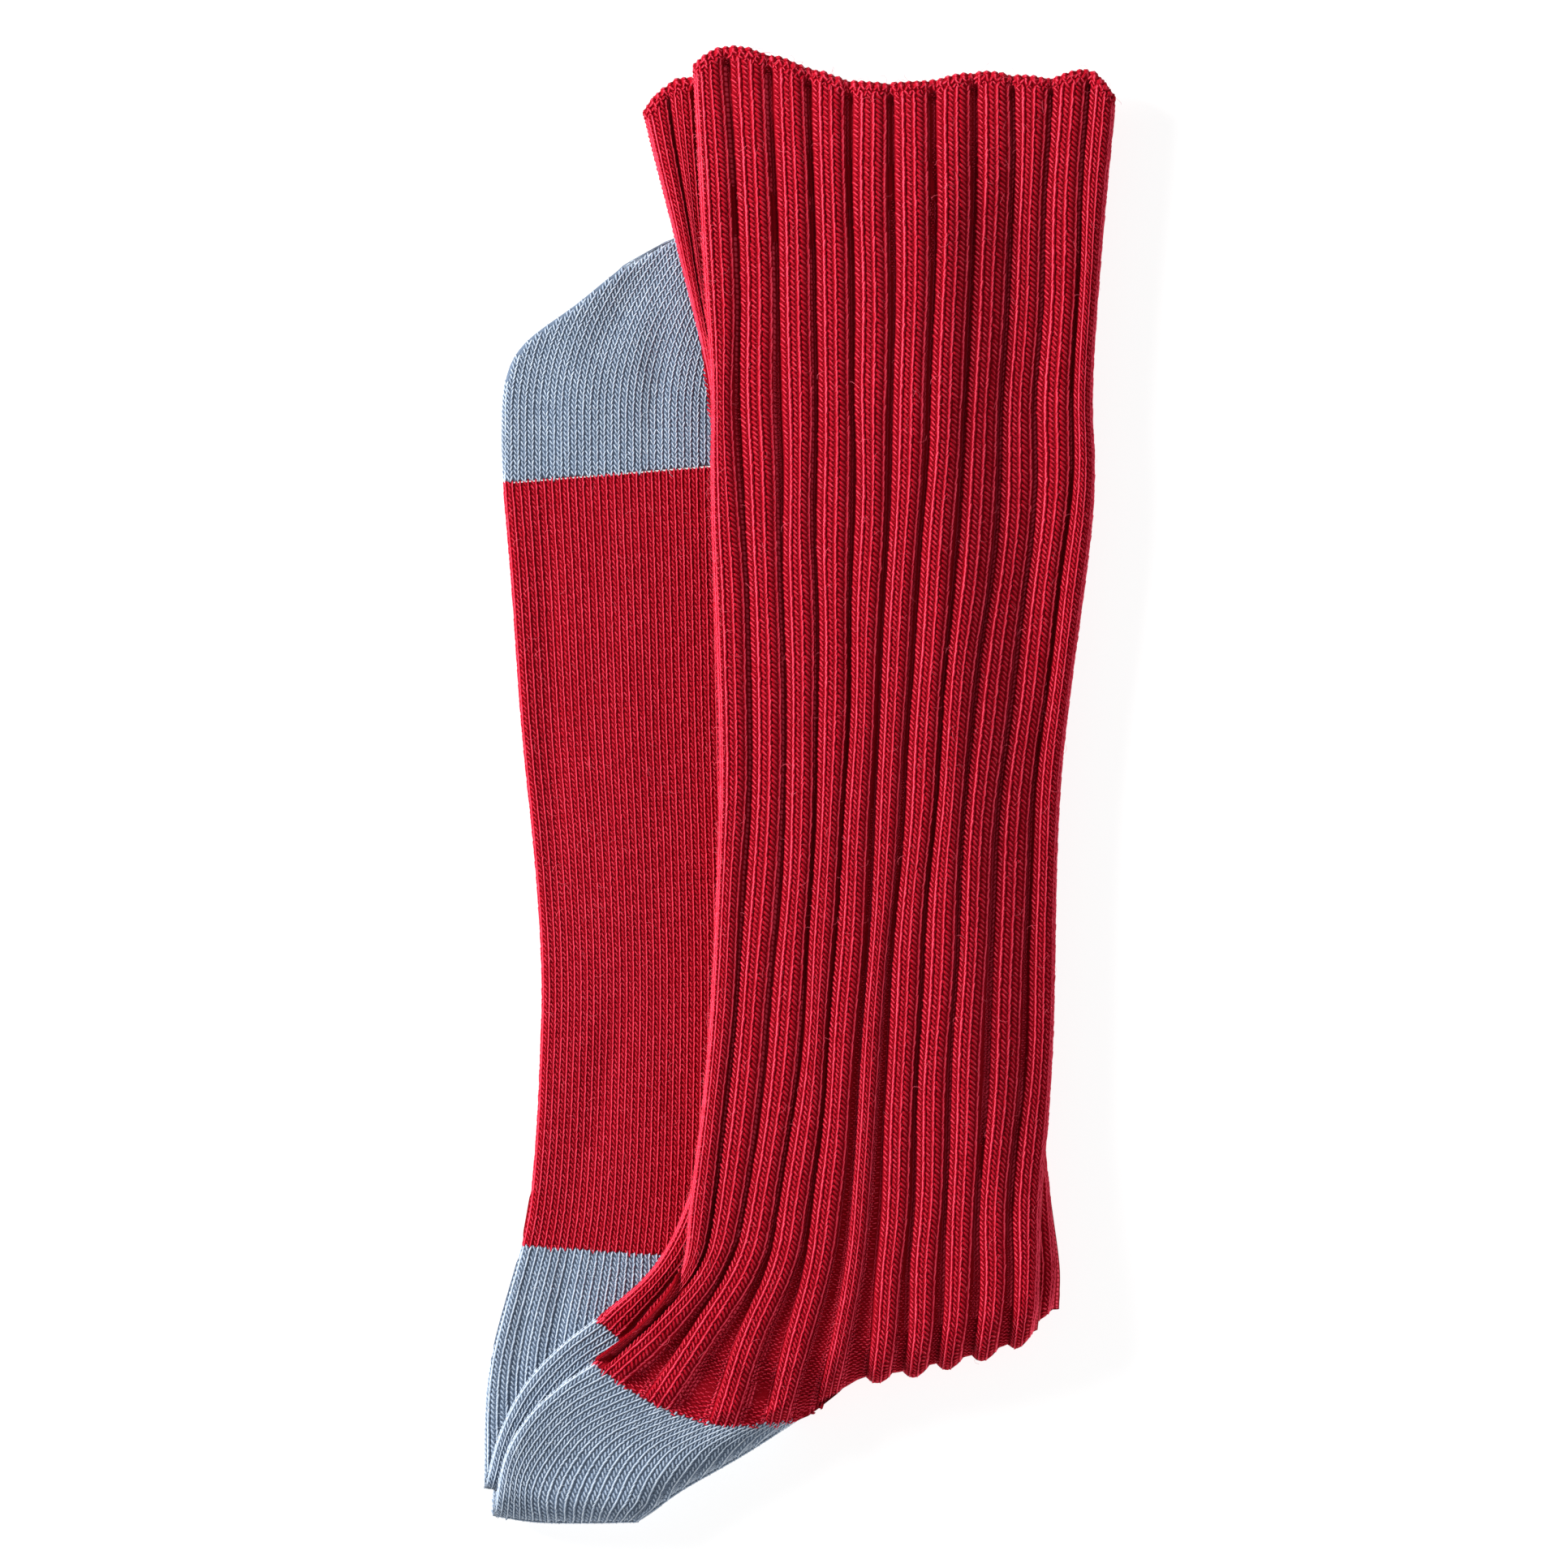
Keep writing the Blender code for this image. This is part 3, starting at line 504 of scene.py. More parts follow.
TUCK = 2.4  # how far the first rib drops where it is tucked under the second
TUCKED_PITCH = (1.0, 2.5)  # a first rib this narrow is tucked wholly, and the change's width
TONGUE_STEP = 3.0  # length over which a rib drops at the heel's border
LEAST_LEG = 0.4  # the top of a leg stays this far above its underside
PURL_LEAST = 0.58  # a narrower half valley shows no stitches
PURL_MOST = 1.8  # and one this wide shows one more wale
PURL_WALES = 3  # at most
EDGE_PLACES = (0.86, 0.96)  # wales round a leg's edge
EDGE_REACH = 0.03  # step that the slope of their stitches is taken over
EDGE_WIDTH = 1.7  # of their stitches

# The cuffs.
CUFF_LOBE = 0.3  # how far a rib's crown stands out past its valleys
CUFF_LOBE_LENGTH = 4.0
CUFF_VALLEY = 0.25  # share of a valley's depth that is left at the bound edge
CUFF_FLAT = (0.8, 3.0)  # the valleys deepen this far below the bound edge, over this length
CUFF_ROUND = 1.6  # width of the bound edge, which rounds over
CUFF_DROP = 0.9  # and how far it does
CUFF_STEP = 1.55  # from loop to loop along the bound edge
CUFF_RIMS = ((0.0, False), (0.45, False), (0.3, True))  # rows of beads: length from the edge, beneath
CUFF_ROWS = (0.95, 1.75)  # rows of loops
CUFF_SLOPE = (0, 0.25, 0.5)  # lengths from a row of loops that its slope is taken over
CUFF_CLEAR = 0.3  # plain stitches start this far below the rounded edge
CUFF_POINTS = 24  # from valley to valley round a cuff
CUFF_PLACE = 1.9  # the last of them on each side of a rib
CUFF_BAKE = (3, 9)  # courses in the bake's map for a millimetre from the edge, and for the underside
RIM_OUT = 0.3  # the outermost beads stand this far past the edge

# The tubes.
SKIN = 0.22  # a tube's wall lies this far under its stitches
LEAST_TUBE = 0.1  # height that is left between the two skins
SLIT = 0.15  # half of the space between a tube's two walls
RIM_INSET = 1.0  # that space ends this far inside the edges
INNER_STEP = 3  # the hidden wall of that space has one row of faces for this many outside
EDGE_SAVED = 0.57  # wales that a tube's round edge takes out of its plan width
UNDER_EDGE = 2  # wales that show on the underside of a round edge
COVER = 1.6  # a stitch is left out where it lies this far under another stretch
COLUMN_STEP = 8  # mean lengths are taken over one column of this many
LEG_LENGTH = 256.0  # shares of a leg's length are counted in millimetres of this
LEG_ROWS = 64  # rows of a leg's tube between the spaced ones
CUFF_SPACING = (0, 0.3, 0.7, 1.2, 1.9, 2.6, 3.4)  # its first rows, from the cuff
FOLD_SPACING = (*np.linspace(24.0, 9.6, 9), 8.0, 6.6, 5.3, 4.1, 3.0, 2.0, 1.2, 0.6, 0.25, 0.0)  # last
LEG_STARTS = {"rib": 0.4, "edge": 2.0, "purl": 2.5}  # length from the cuff where wales start
LEG_POINTS = 420  # along a leg's wale
HEEL_POINTS = 160  # along a heel's wale
HEEL_ACROSS = 201  # across the grid that heels' wales are taken from
FOOT_POINTS = 200  # along a foot's wale
TOE_POINTS = 120  # along a toe's wale
OUTSIDE = 5.0  # this far past the back edge nothing is left of a sock

# The heels and the bend at the fold.
HEEL_WALES = 27  # along the leg's border
HEEL_SPREAD = 0.36  # share of them that leave over the edge before the fold
SPREAD_END = 0.8  # share of the heel's length over which they leave
HEEL_CLEAR = 0.3  # stitches stop this far from the edge that they leave over and from the fold
HEEL_WIDTHS = (1.2, 1.7)  # least and most width of a stitch
UNDER_WALES = 26  # of the lower half of a heel
TIP_CLEAR = 1.1  # stitches stop this near a heel's two tips
NOSE_START = 0.8  # share of a stretch's length at which its bend's underside starts
NOSE_STITCHED = 8.5  # the bend's underside is stitched this far in from the fold
NOSE_CLEAR = 0.3  # but not nearer to it than this
NOSE_WALES = 100  # of a foot's whole end, with the heel pouch's border
FOLD_ROWS = (1.5, 0.5, -0.5, -1.5)  # courses above the fold's seam, from the top one down
FOLD_LEFT_OUT = 4  # wales of that seam that would hang past the leg's front edge

# The feet and toes. A straight border has its height at the sole's edge, its slope, and X there.
TOE_BORDER = (57.5, 6.5 / 80.1, -56.6)
HEEL_BORDER = (-88.0, -2.4 / 36.0, -53.0)
FOOT_WALES = 32  # from the sole's edge that can show
FOOT_ROUND = 57  # across the flat tube
SOLE_MEAN = FOOT_ROWS[2][2]  # X of the sole's edge half way along the foot
SOLE_FOLLOWED = 28.0  # the wales follow the sole's edge less and less over this width
TOE_LEAN = (0.0125, 71.0)  # the toe's wales lean by the square of their height over the second
TOE_PAST = 1.0  # those wales start this far past the toes' ends, and are cut to the outline
TOE_END_CLEAR = 0.35  # the stitches on a toe's top stop this far inside its end
RIM_STITCHED = 2.2  # a toe's underside is stitched this far in from its end
RIM_CLEAR = 0.7  # but not nearer to it than this

# The painted shade on the ground under the stitches and in the valleys, and the loose fibres.
OUTLINE_FADE = 1.5  # the painted shade on the ground under the stitches fades out over this width at the outline
CROWN_COVERED = 0.9  # a rib's ground has painted shade as far as this place
HOLLOW_COVERED = 4  # and the painted shade on its valleys' ground grows this much faster than their painted valley shade
HOLLOW_FLANK = (0.84, 0.2)  # place where a valley's painted shade starts, and the change's width
HOLLOW_START = (1.0, 7.0)  # length from the cuff where it starts, and the change's length
HOLLOW_FIRST = (0.55, 0.3)  # share of the leg where the first valley's painted shade lessens, and the change's
FIRST_SOFTENS = 0.75  # how much less painted shade the first valley has towards the heel
INNER_HOLLOW = 0.25  # share of the painted valley shade that the inner leg's valleys have
OPEN_VALLEY = (1.5, 1.4)  # a valley this wide has less painted shade, and the change's width
FIBRE_LENGTH = (0.5, 2.4)  # least and most length of a loose fibre
FIBRE_STRAY = (0.5, 0.6)  # most that a loose fibre lies above and beside its stitch
FIBRE_PALE = 0.06  # how far its colour is on the way from the yarn's painted crest highlight to white

# Soft hollows and swellings of the feet and of the outer sock's upper heel: the middle, half the
# width and half the length, how far it leans, and its depth.
FOOT_DENTS = (
    # x, y, across, along, lean, depth
    (-47.5, 20.0, 2.8, 42.0, -0.03, 0.55),
    (-38.0, -60.0, 4.0, 22.0, 0.25, 0.50),
    (-33.0, 92.0, 4.5, 10.0, 0.55, 0.75),
    (-27.0, 78.0, 3.2, 16.0, 0.05, 0.55),
    (-42.0, 74.0, 5.0, 12.0, 0.10, -0.40),
    (-32.0, 5.0, 5.0, 50.0, 0.00, -0.30),
    (-46.3, -101.5, 1.9, 12.0, 0.18, 0.50),
    (-53.2, -107.0, 1.7, 15.0, 0.13, 0.45),
)
HEEL_DENTS = ((-41.0, -131.5, 4.6, 6.5, -1.56, 1.10),)


def wobble(along, seed, size):
    """A slow uneven wander, the same each time."""
    draws = np.random.default_rng(seed).uniform(0, 2 * np.pi, len(WANDER_WAVES))
    waves = sum(np.sin(along / length + phase) for length, phase in zip(WANDER_WAVES, draws))
    return size * waves / len(WANDER_WAVES)


def across_lines(lines, where):
    """Points between neighbouring lines of a leg, smooth across them: `where` counts the lines."""
    last = lines.shape[1] - 1
    first_end, last_end = 2 * lines[:, :1] - lines[:, 1:2], 2 * lines[:, -1:] - lines[:, -2:-1]
    ends = np.concatenate([first_end, lines, last_end], axis=1)
    where = np.clip(where, 0, last)
    start = np.minimum(where.astype(int), last - 1)
    row = np.arange(len(lines))[:, None]
    return between(*(ends[row, start + n] for n in range(4)), (where - start)[..., None])


def wandering_lines(sock, shares):
    """A leg's lines at these shares of their lengths, with the valleys' slow wander."""
    lines = sock.lines_at(shares)
    steady = ease((1 - shares) / WANDER_END)[:, None]
    for number in range(1, LEG_RIBS):
        side = unit(lines[:, number + 1] - lines[:, number - 1])
        wander = wobble(shares * sock.leg_length, number + 20 * sock.outer, RIB_WANDER)[:, None]
        lines[:, number] += side * wander * steady
    return lines


def rib_half(pitch, shares):
    """Half the width of a rib and its flanks."""
    limit = np.interp(shares, *zip(*RIB_LIMITS))[:, None]
    return np.minimum(RIB_SHARE * pitch, limit) / 2


def valley_depth(sock, ribs, places, pitch, slope, from_cuff):
    """Depth of a leg's cloth under the ribs' crowns, before it fades at the heel and the fold."""
    depth = np.minimum(RIB_RELIEF, RELIEF_LIMIT * pitch) * (1 - np.sqrt(1 - slope))
    tube_edge = (ribs == 0) & (places < 0) | (ribs == LEG_RIBS - 1) & (places > 0)
    depth = np.where(tube_edge, 0.0, depth) * ease(pitch / RIB_NARROW)
    depth = depth * (1.0 if sock.outer else INNER_RELIEF)
    tuck = TUCK * (1 - change(pitch, *TUCKED_PITCH))
    depth = np.where(ribs == 0, np.maximum(depth, tuck), depth)
    return depth * (CUFF_VALLEY + (1 - CUFF_VALLEY) * change(from_cuff, *CUFF_FLAT))


def leg_cloth(sock, ribs, places, shares, under=False):
    """Points on a leg's cloth: a row for each share of its length and a column for each place."""
    ribs = np.asarray(ribs)
    places = np.asarray(places, float)
    lines = wandering_lines(sock, shares)
    pitch = np.maximum(np.linalg.norm(np.diff(lines, axis=1), axis=-1), LEAST_PITCH)[:, ribs]
    half = rib_half(pitch, shares)
    valley = np.clip(np.abs(places) - 1, 0, 1) * (pitch / 2 - half)
    across = np.clip(places, -1, 1) * half + np.sign(places) * valley
    plan = across_lines(lines, ribs + 0.5 + across / pitch)
    from_cuff = (shares * sock.leg_length)[:, None]
    slope = np.minimum(np.abs(across) / half, 1) ** CROWN_POWER
    relief = valley_depth(sock, ribs, places, pitch, slope, from_cuff)
    relief = relief * leg_share(plan, sock, TONGUE_STEP) * edge_share(plan, sock.fold, RIB_FOLD_FADE)
    top, low = upper_heights(plan, sock, TONGUE_STEP)
    drop = CUFF_DROP * (1 - quarter_round(from_cuff, CUFF_ROUND))
    height = low + relief + drop if under else np.maximum(top - relief, low + LEAST_LEG) - drop
    down = unit(np.gradient(plan, axis=0))
    crown = 1 - np.minimum(np.abs(places), 1) ** 2
    fold_end = change(shares[:, None], 1 - LOBE_SHARE, LOBE_SHARE)
    lobe = np.where(ribs > GORE_LINE, FOLD_LOBE, 0.0) * fold_end
    lobe = (lobe - CUFF_LOBE * ease(1 - from_cuff / CUFF_LOBE_LENGTH)) * crown
    return with_height(plan + down * lobe[..., None], height)


def with_height(plan, height):
    """Points of a plan at these heights."""
    return np.concatenate([plan, height[..., None]], axis=-1)


def edge_place(arc, radius):
    """Plan distance from a tube's edge at this length round it."""
    arc = np.abs(arc)
    quarter = radius * np.pi / 2
    return np.where(arc < quarter, radius * (1 - np.cos(arc / radius)), arc - quarter + radius)


def dents(plan, table):
    """Depth of the soft hollows at points of a plan."""
    depth = 0.0
    for x, y, across, along, lean, deep in table:
        beside = (plan[..., 0] - x - lean * (plan[..., 1] - y)) / across
        depth = depth + deep * np.exp(-(beside**2) - ((plan[..., 1] - y) / along) ** 2)
    return depth


def lower_cloth(plan, sock, under=False):
    """Points on a foot's, toe's or lower heel's cloth."""
    top, low = lower_heights(plan, sock)
    return with_height(plan, low if under else top - dents(plan, FOOT_DENTS))


def upper_heel_cloth(plan, sock, under=False):
    """Points on an upper heel's cloth."""
    top, low = upper_heights(plan, sock, TONGUE_STEP)
    if sock.outer:
        top = top - dents(plan, HEEL_DENTS) * edge_share(plan, sock.fold, RIB_FOLD_FADE)
    return with_height(plan, low if under else top)


# ---------------------------------------------------------------- grids of the tubes
CROWN_STOPS = (-1.0, -0.96, -0.85, -0.6, -0.2, 0.2, 0.6, 0.85, 0.96, 1.0)  # columns across a rib
PLAIN_STOPS = (-0.8, 0.0, 0.8)  # the same across one that is hidden
VALLEY_SIDE = 1.4  # a place on a valley's floor
VALLEY = 2.0  # the place in a valley's middle
OUTSIDE_BAKE = (0.0, 0.9)  # start and height of the outside's part of the bake's map
INSIDE_BAKE = (0.91, 0.08)  # and of the inside's


def leg_columns(ribbed):
    """Ribs, places and wale numbers of a leg's columns, from the back edge to the front edge."""
    ribs, places = [0], [-VALLEY]
    for rib in range(LEG_RIBS):
        stops = CROWN_STOPS if rib in ribbed else PLAIN_STOPS
        if rib:
            ribs += [rib - 1, rib, rib]
            places += [VALLEY_SIDE, -VALLEY, -VALLEY_SIDE]
        ribs += [rib] * len(stops)
        places += stops
    ribs.append(LEG_RIBS - 1)
    places.append(VALLEY)
    places = np.array(places)
    half = PLAIN_WALES / 2
    wales = RIB_PITCH * (np.array(ribs) + 0.5) + np.clip(half * places, -half, half)
    return ribs, places, wales + np.sign(places) * (np.abs(places) > 1)


def leg_shares():
    """Shares of a leg's length at its rows, closer together near both ends."""
    cuff = np.array(CUFF_SPACING) / LEG_LENGTH
    end = 1 - np.array(FOLD_SPACING) / LEG_LENGTH
    return np.concatenate([cuff, np.linspace(cuff[-1], end[0], LEG_ROWS)[1:-1], end])


def flat_rows(sock, rows, columns):
    """Points across a flat tube, from the sole's edge to the instep's, for each row of sizes."""
    plan = []
    for sole_y, instep_y, sole_x, instep_x in rows:
        sole = np.array([sole_x + sock.inset, sole_y])
        instep = np.array([instep_x - sock.inset, instep_y])
        plan.append(sole + (instep - sole) * columns[:, None])
    return plan


def foot_plan(sock, columns, courses):
    """Plan grid of a foot, from the toe's border to the heel and the fold."""
    end = np.vstack([sock.foot_end[0], sock.foot_end[1][1:], sock.foot_end[2][1:]])
    return down_grid(np.stack([*flat_rows(sock, FOOT_ROWS, columns), at_share(end, columns)]), courses)


def toe_plan(sock, columns, courses):
    """Plan grid of a toe, from its closed end to the foot."""
    return down_grid(np.stack(flat_rows(sock, TOE_ROWS[::-1], columns)), courses)


def edge_crowded(shares):
    """Moves even shares towards both ends, for the round edges of a tube."""
    return 0.5 - 0.5 * np.cos(np.pi * shares)


def end_crowded(shares):
    """Moves even shares towards 1, for the bend at a fold."""
    return np.sin(shares * np.pi / 2)


def mean_lengths(grid):
    """Mean distance down a grid's columns at each of its rows."""
    return np.mean([lengths(grid[:, c]) for c in range(0, grid.shape[1], COLUMN_STEP)], axis=0)


def drawn_in(rows, inset):
    """The same points of each row again, drawn in from both its ends."""
    drawn = []
    for row in rows:
        along = lengths(row)
        whole = max(along[-1], LEAST_TUBE)
        stops = inset + along * max(along[-1] - 2 * inset, LEAST_TUBE) / whole
        drawn.append(np.stack([np.interp(stops, along, row[:, axis]) for axis in range(3)], axis=-1))
    return np.stack(drawn)


def inward(grid, distance, under=False):
    """A grid of points moved into its cloth, along its normals."""
    down, side = np.gradient(grid, axis=0), np.gradient(grid, axis=1)
    out = unit(np.cross(down, side)) * (-1 if under else 1)
    return grid - out * distance


def skinned(top, low):
    """Both sides of a tube, moved in under their stitches."""
    top, low = inward(top, SKIN), inward(low, SKIN / 2, under=True)
    top[..., 2] = np.maximum(top[..., 2], low[..., 2] + LEAST_TUBE)
    return top, low


def tube(top, low, wales, closed=False):
    """Points and faces of a thin flattened tube between two grids, with its knit and bake maps.

    Both grids have a row for each course and share their plan. The tube's outer wall follows
    them, and its inner wall bounds a thin space half way between. The tube is open at its first
    and last rows, or closed at its first.
    """
    rows, columns = top.shape[:2]
    middle = drawn_in((top + low) / 2, RIM_INSET)
    skip = INNER_STEP if closed else 0
    inner_rows = [*range(skip, rows - 1, INNER_STEP), rows - 1]
    lift = np.array([0, 0, SLIT])
    outside = np.concatenate([top, low[:, ::-1]], axis=1)
    inside = np.concatenate([middle + lift, (middle - lift)[:, ::-1]], axis=1)[inner_rows]
    points = np.concatenate([ring.reshape(-1, 3) for ring in (outside, inside)])
    ring_size = 2 * columns
    wall_rows = (list(range(rows)), inner_rows)
    total = 2 * wales[-1]
    ring_wales = np.concatenate([wales, total - wales[::-1], [total]])
    course = mean_lengths(top) / COURSE
    faces, knit, bake = [], [], []

    def point(wall, row, place, _):
        """Number of the point at a place on a wall's ring."""
        return (wall * rows + wall_rows[wall].index(row)) * ring_size + place % ring_size

    def face(corners):
        """Adds a face whose corners each give wall, row, place on the ring and wale."""
        faces.append(tuple(point(*corner) for corner in corners))
        start, height = INSIDE_BAKE if all(wall for wall, *_ in corners) else OUTSIDE_BAKE
        for _, row, _, wale in corners:
            knit.append((wale, course[row]))
            bake.append((wale / total, start + height * course[row] / course[-1]))

    for wall, step in ((0, 1), (1, -1)):
        for row, after in zip(wall_rows[wall][:-1], wall_rows[wall][1:]):
            for place in range(ring_size):
                here, there = (place, ring_wales[place]), (place + 1, ring_wales[place + 1])
                corners = ((row, here), (after, here), (after, there), (row, there))
                face([(wall, course_row, *side) for course_row, side in corners][::step])
    for row, step in [(rows - 1, 1)] if closed else [(0, -1), (rows - 1, 1)]:
        for place in range(ring_size):
            here, there = (place, ring_wales[place]), (place + 1, ring_wales[place + 1])
            face([(0, row, *here), (1, row, *here), (1, row, *there), (0, row, *there)][::step])
    for wall, row, step in [(0, 0, 1), (1, skip, -1)] if closed else []:
        for place in range(columns - 1):
            other = ring_size - 1 - place
            here, there = ring_wales[place], ring_wales[place + 1]
            cap = [(place, here), (place + 1, there), (other - 1, there), (other, here)]
            face([(wall, row, *corner) for corner in cap][::step])
    return points, faces, knit, bake


# ---------------------------------------------------------------- places of the stitches
STITCH = {"place": slice(0, 3), "up": slice(3, 6), "out": slice(6, 9), "width": 9, "wale": 10, "course": 11}


def facts_along(facts, stops):
    """Place, up and side at these distances along a line, from those at each of its points."""
    run = lengths(facts[:, :3])
    facts = np.stack([np.interp(stops, run, facts[:, n]) for n in range(9)], axis=1)
    return facts[:, :3], unit(facts[:, 3:6]), facts[:, 6:]


def along_wales(middle, left, right, first_wale=0):
    """Stitch places at equal steps along wales, whose rows run from their upper to their lower end.

    Gives a table with the columns of STITCH.
    """
    rows = []
    for wale in range(middle.shape[1]):
        line = middle[:, wale]
        stops = np.arange(0.5, lengths(line)[-1] / COURSE) * COURSE
        if not len(stops):
            continue
        up, span = unit(-np.gradient(line, axis=0)), right[:, wale] - left[:, wale]
        place, up, span = facts_along(np.concatenate([line, up, span], axis=1), stops)
        span = span - (span * up).sum(1, keepdims=True) * up
        out = np.cross(unit(span), up)
        width = np.linalg.norm(span, axis=1, keepdims=True)
        number = np.full((len(stops), 1), first_wale + wale + 0.5)
        rows.append(np.concatenate([place, up, out, width, number, stops[:, None] / COURSE], axis=1))
    return np.concatenate(rows)


def wales_on(cloth_at, step, first_wale=0, width=None):
    """Stitches of wales, from the points of their cloth at a step sideways from their middles."""
    table = along_wales(cloth_at(0), cloth_at(-step), cloth_at(step), first_wale)
    if width:
        table[:, STITCH["width"]] = width
    return table


def edge_wales(sock, rib, places):
    """Stitches of the wales that go round a leg's edge."""
    shares = np.linspace(LEG_STARTS["edge"] / LEG_LENGTH, 1, LEG_POINTS)
    numbers = np.full(len(places), rib)
    places = np.array(places)

    def cloth_at(step):
        return leg_cloth(sock, numbers, places + step, shares)

    return wales_on(cloth_at, EDGE_REACH, width=EDGE_WIDTH)


def both_edges(sock):
    """Stitches round a leg's back and front edges."""
    sides = ((0, -1), (LEG_RIBS - 1, 1))
    return np.concatenate([edge_wales(sock, rib, side * np.array(EDGE_PLACES)) for rib, side in sides])


def leg_wales(sock, ribs):
    """Stitches of the plain wales on these ribs' crowns."""
    ribs = np.array(ribs)
    shares = np.linspace(LEG_STARTS["rib"] / LEG_LENGTH, 1, LEG_POINTS)
    numbers = np.repeat(ribs, PLAIN_WALES)
    places = np.tile(RIB_WALES, len(ribs))

    def cloth_at(step):
        return leg_cloth(sock, numbers, places + step, shares)

    table = wales_on(cloth_at, RIB_WALE_REACH)
    table[:, STITCH["width"]] *= RIB_WALE_STEP / (2 * RIB_WALE_REACH)
    numbers = np.round(table[:, STITCH["wale"]] - 0.5).astype(int)
    first = (RIB_PITCH - PLAIN_WALES + 1) / 2
    table[:, STITCH["wale"]] = RIB_PITCH * ribs[numbers // PLAIN_WALES] + first + numbers % PLAIN_WALES
    return table[table[:, STITCH["course"]] * COURSE > CUFF_ROUND + CUFF_CLEAR]


def purl_wales(sock, valleys):
    """Stitches of the purl wales on the floors of the valleys that are wide enough to show them.

    A wider stretch of a valley takes more wales, so that all are about as wide.
    """
    shares = np.linspace(LEG_STARTS["purl"] / LEG_LENGTH, 1, LEG_POINTS)
    tables = []
    for count in range(1, PURL_WALES + 1):
        middles = VALLEY - (np.arange(count) + 0.5) / count
        places = np.tile(np.concatenate([middles, -middles]), len(valleys))
        numbers = np.repeat(valleys, 2 * count) + (places < 0)

        def cloth_at(step):
            moved = np.clip(np.abs(places + step), 1.0, VALLEY) * np.sign(places)
            return leg_cloth(sock, numbers, moved, shares)

        table = wales_on(cloth_at, 0.5 / count)
        width = table[:, STITCH["width"]]
        least = PURL_MOST * (count - 1) / count if count > 1 else PURL_LEAST
        most = PURL_MOST if count < PURL_WALES else FAR
        tables.append(table[(width > least) & (width <= most)])
    return np.concatenate(tables)


def cuff_loops(sock, from_edge, under=False):
    """Stitches side by side round a cuff's bound edge, at this length from it."""
    numbers = np.repeat(np.arange(LEG_RIBS), CUFF_POINTS)
    places = np.tile(np.linspace(-CUFF_PLACE, CUFF_PLACE, CUFF_POINTS), LEG_RIBS)
    shares = (from_edge + np.array(CUFF_SLOPE)) / LEG_LENGTH
    above, line, below = leg_cloth(sock, numbers, places, shares, under)
    stops = np.arange(0.5 * CUFF_STEP, lengths(line)[-1], CUFF_STEP)
    facts = np.concatenate([line, unit(above - below), np.gradient(line, axis=0)], axis=1)
    place, up, side = facts_along(facts, stops)
    out = unit(np.cross(unit(side), up)) * (-1 if under else 1)
    place = place + up * (RIM_OUT if from_edge == 0 else 0.0)
    width = np.full((len(stops), 1), CUFF_STEP)
    wale = np.arange(len(stops))[:, None] * 1.0
    course = np.full((len(stops), 1), CUFF_BAKE[0] * from_edge + CUFF_BAKE[1] * under)
    return np.concatenate([place, up, out, width, wale, course], axis=1)


def pouch_wales(sock, rows, cloth, wales, spread=0.0, clear=0.0, shown_wales=None):
    """Stitches of a heel pouch, whose wales start at its first row, with those round its back edge.

    The last wales leave over the other edge by the spread, as a share of all, and stitches nearer
    than `clear` to that edge or to the last row are left out.
    """
    courses, columns = np.linspace(0, 1, HEEL_POINTS), np.linspace(0, 1, HEEL_ACROSS)
    plan = table_plan(rows, columns, courses)
    grow = 1 + spread * ease(courses / SPREAD_END)[:, None]
    tables = []
    for under, first, last in ((True, -UNDER_EDGE, 0), (False, 0, shown_wales or wales)):

        def cloth_at(step):
            shares = edge_place(np.arange(first, last) + 0.5 + step, 1.0) / (wales - EDGE_SAVED) * grow
            rows_at = zip(shares, plan)
            grid = [[np.interp(share, columns, row[:, n]) for n in (0, 1)] for share, row in rows_at]
            return cloth(np.array(grid).transpose(0, 2, 1), sock, under)

        tables.append(wales_on(cloth_at, QUARTER, first))
    table = np.concatenate(tables)
    table[:, STITCH["width"]] = np.clip(table[:, STITCH["width"]] / (2 * QUARTER), *HEEL_WIDTHS)
    if clear:
        edges = np.vstack([plan[:, -1], plan[-1, ::-1]])
        table = table[nearest(table[:, :2], edges) > clear]
    return table


def on_border(border, x):
    """Height at X of a straight border of a foot."""
    height, slope, start = border
    return height + (x - start) * slope


def foot_wale_lines(sock, arcs):
    """Plan lines of a foot's wales at these lengths round from the sole's edge, down the foot."""
    offset = edge_place(arcs, PLAIN_TUBE / 2)
    x = SOLE_MEAN + offset
    top, low = on_border(TOE_BORDER, x), on_border(HEEL_BORDER, x)
    y = top + (low - top) * np.linspace(0, 1, FOOT_POINTS)[:, None]
    sole_x, sole_y = sock.sole_edge[::-1].T
    follow = np.exp(-offset / SOLE_FOLLOWED)
    return np.stack([offset + SOLE_MEAN + (np.interp(y, sole_y, sole_x) - SOLE_MEAN) * follow, y], axis=-1)


def toe_wale_lines(sock, arcs):
    """Plan lines of a toe's wales, from above the toe's end down to its border."""
    x = TOE_BORDER[2] + sock.inset + edge_place(arcs, PLAIN_TUBE / 2)
    low = on_border(TOE_BORDER, x)
    y = low + (TOE_REACH + TOE_PAST - low) * np.linspace(1, 0, TOE_POINTS)[:, None]
    x = x + TOE_LEAN[0] * np.maximum(y - TOE_LEAN[1], 0) ** 2
    return np.stack([x, y], axis=-1)


def jersey_wales(sock, lines, numbers, under=False, step=QUARTER * JERSEY_WALE):
    """Stitches of plain wales with these numbers, counted from the sole's edge."""
    arcs = (numbers + 0.5) * JERSEY_WALE

    def cloth_at(move):
        return lower_cloth(lines(sock, arcs + move), sock, under)

    return wales_on(cloth_at, step, numbers[0], JERSEY_WALE)


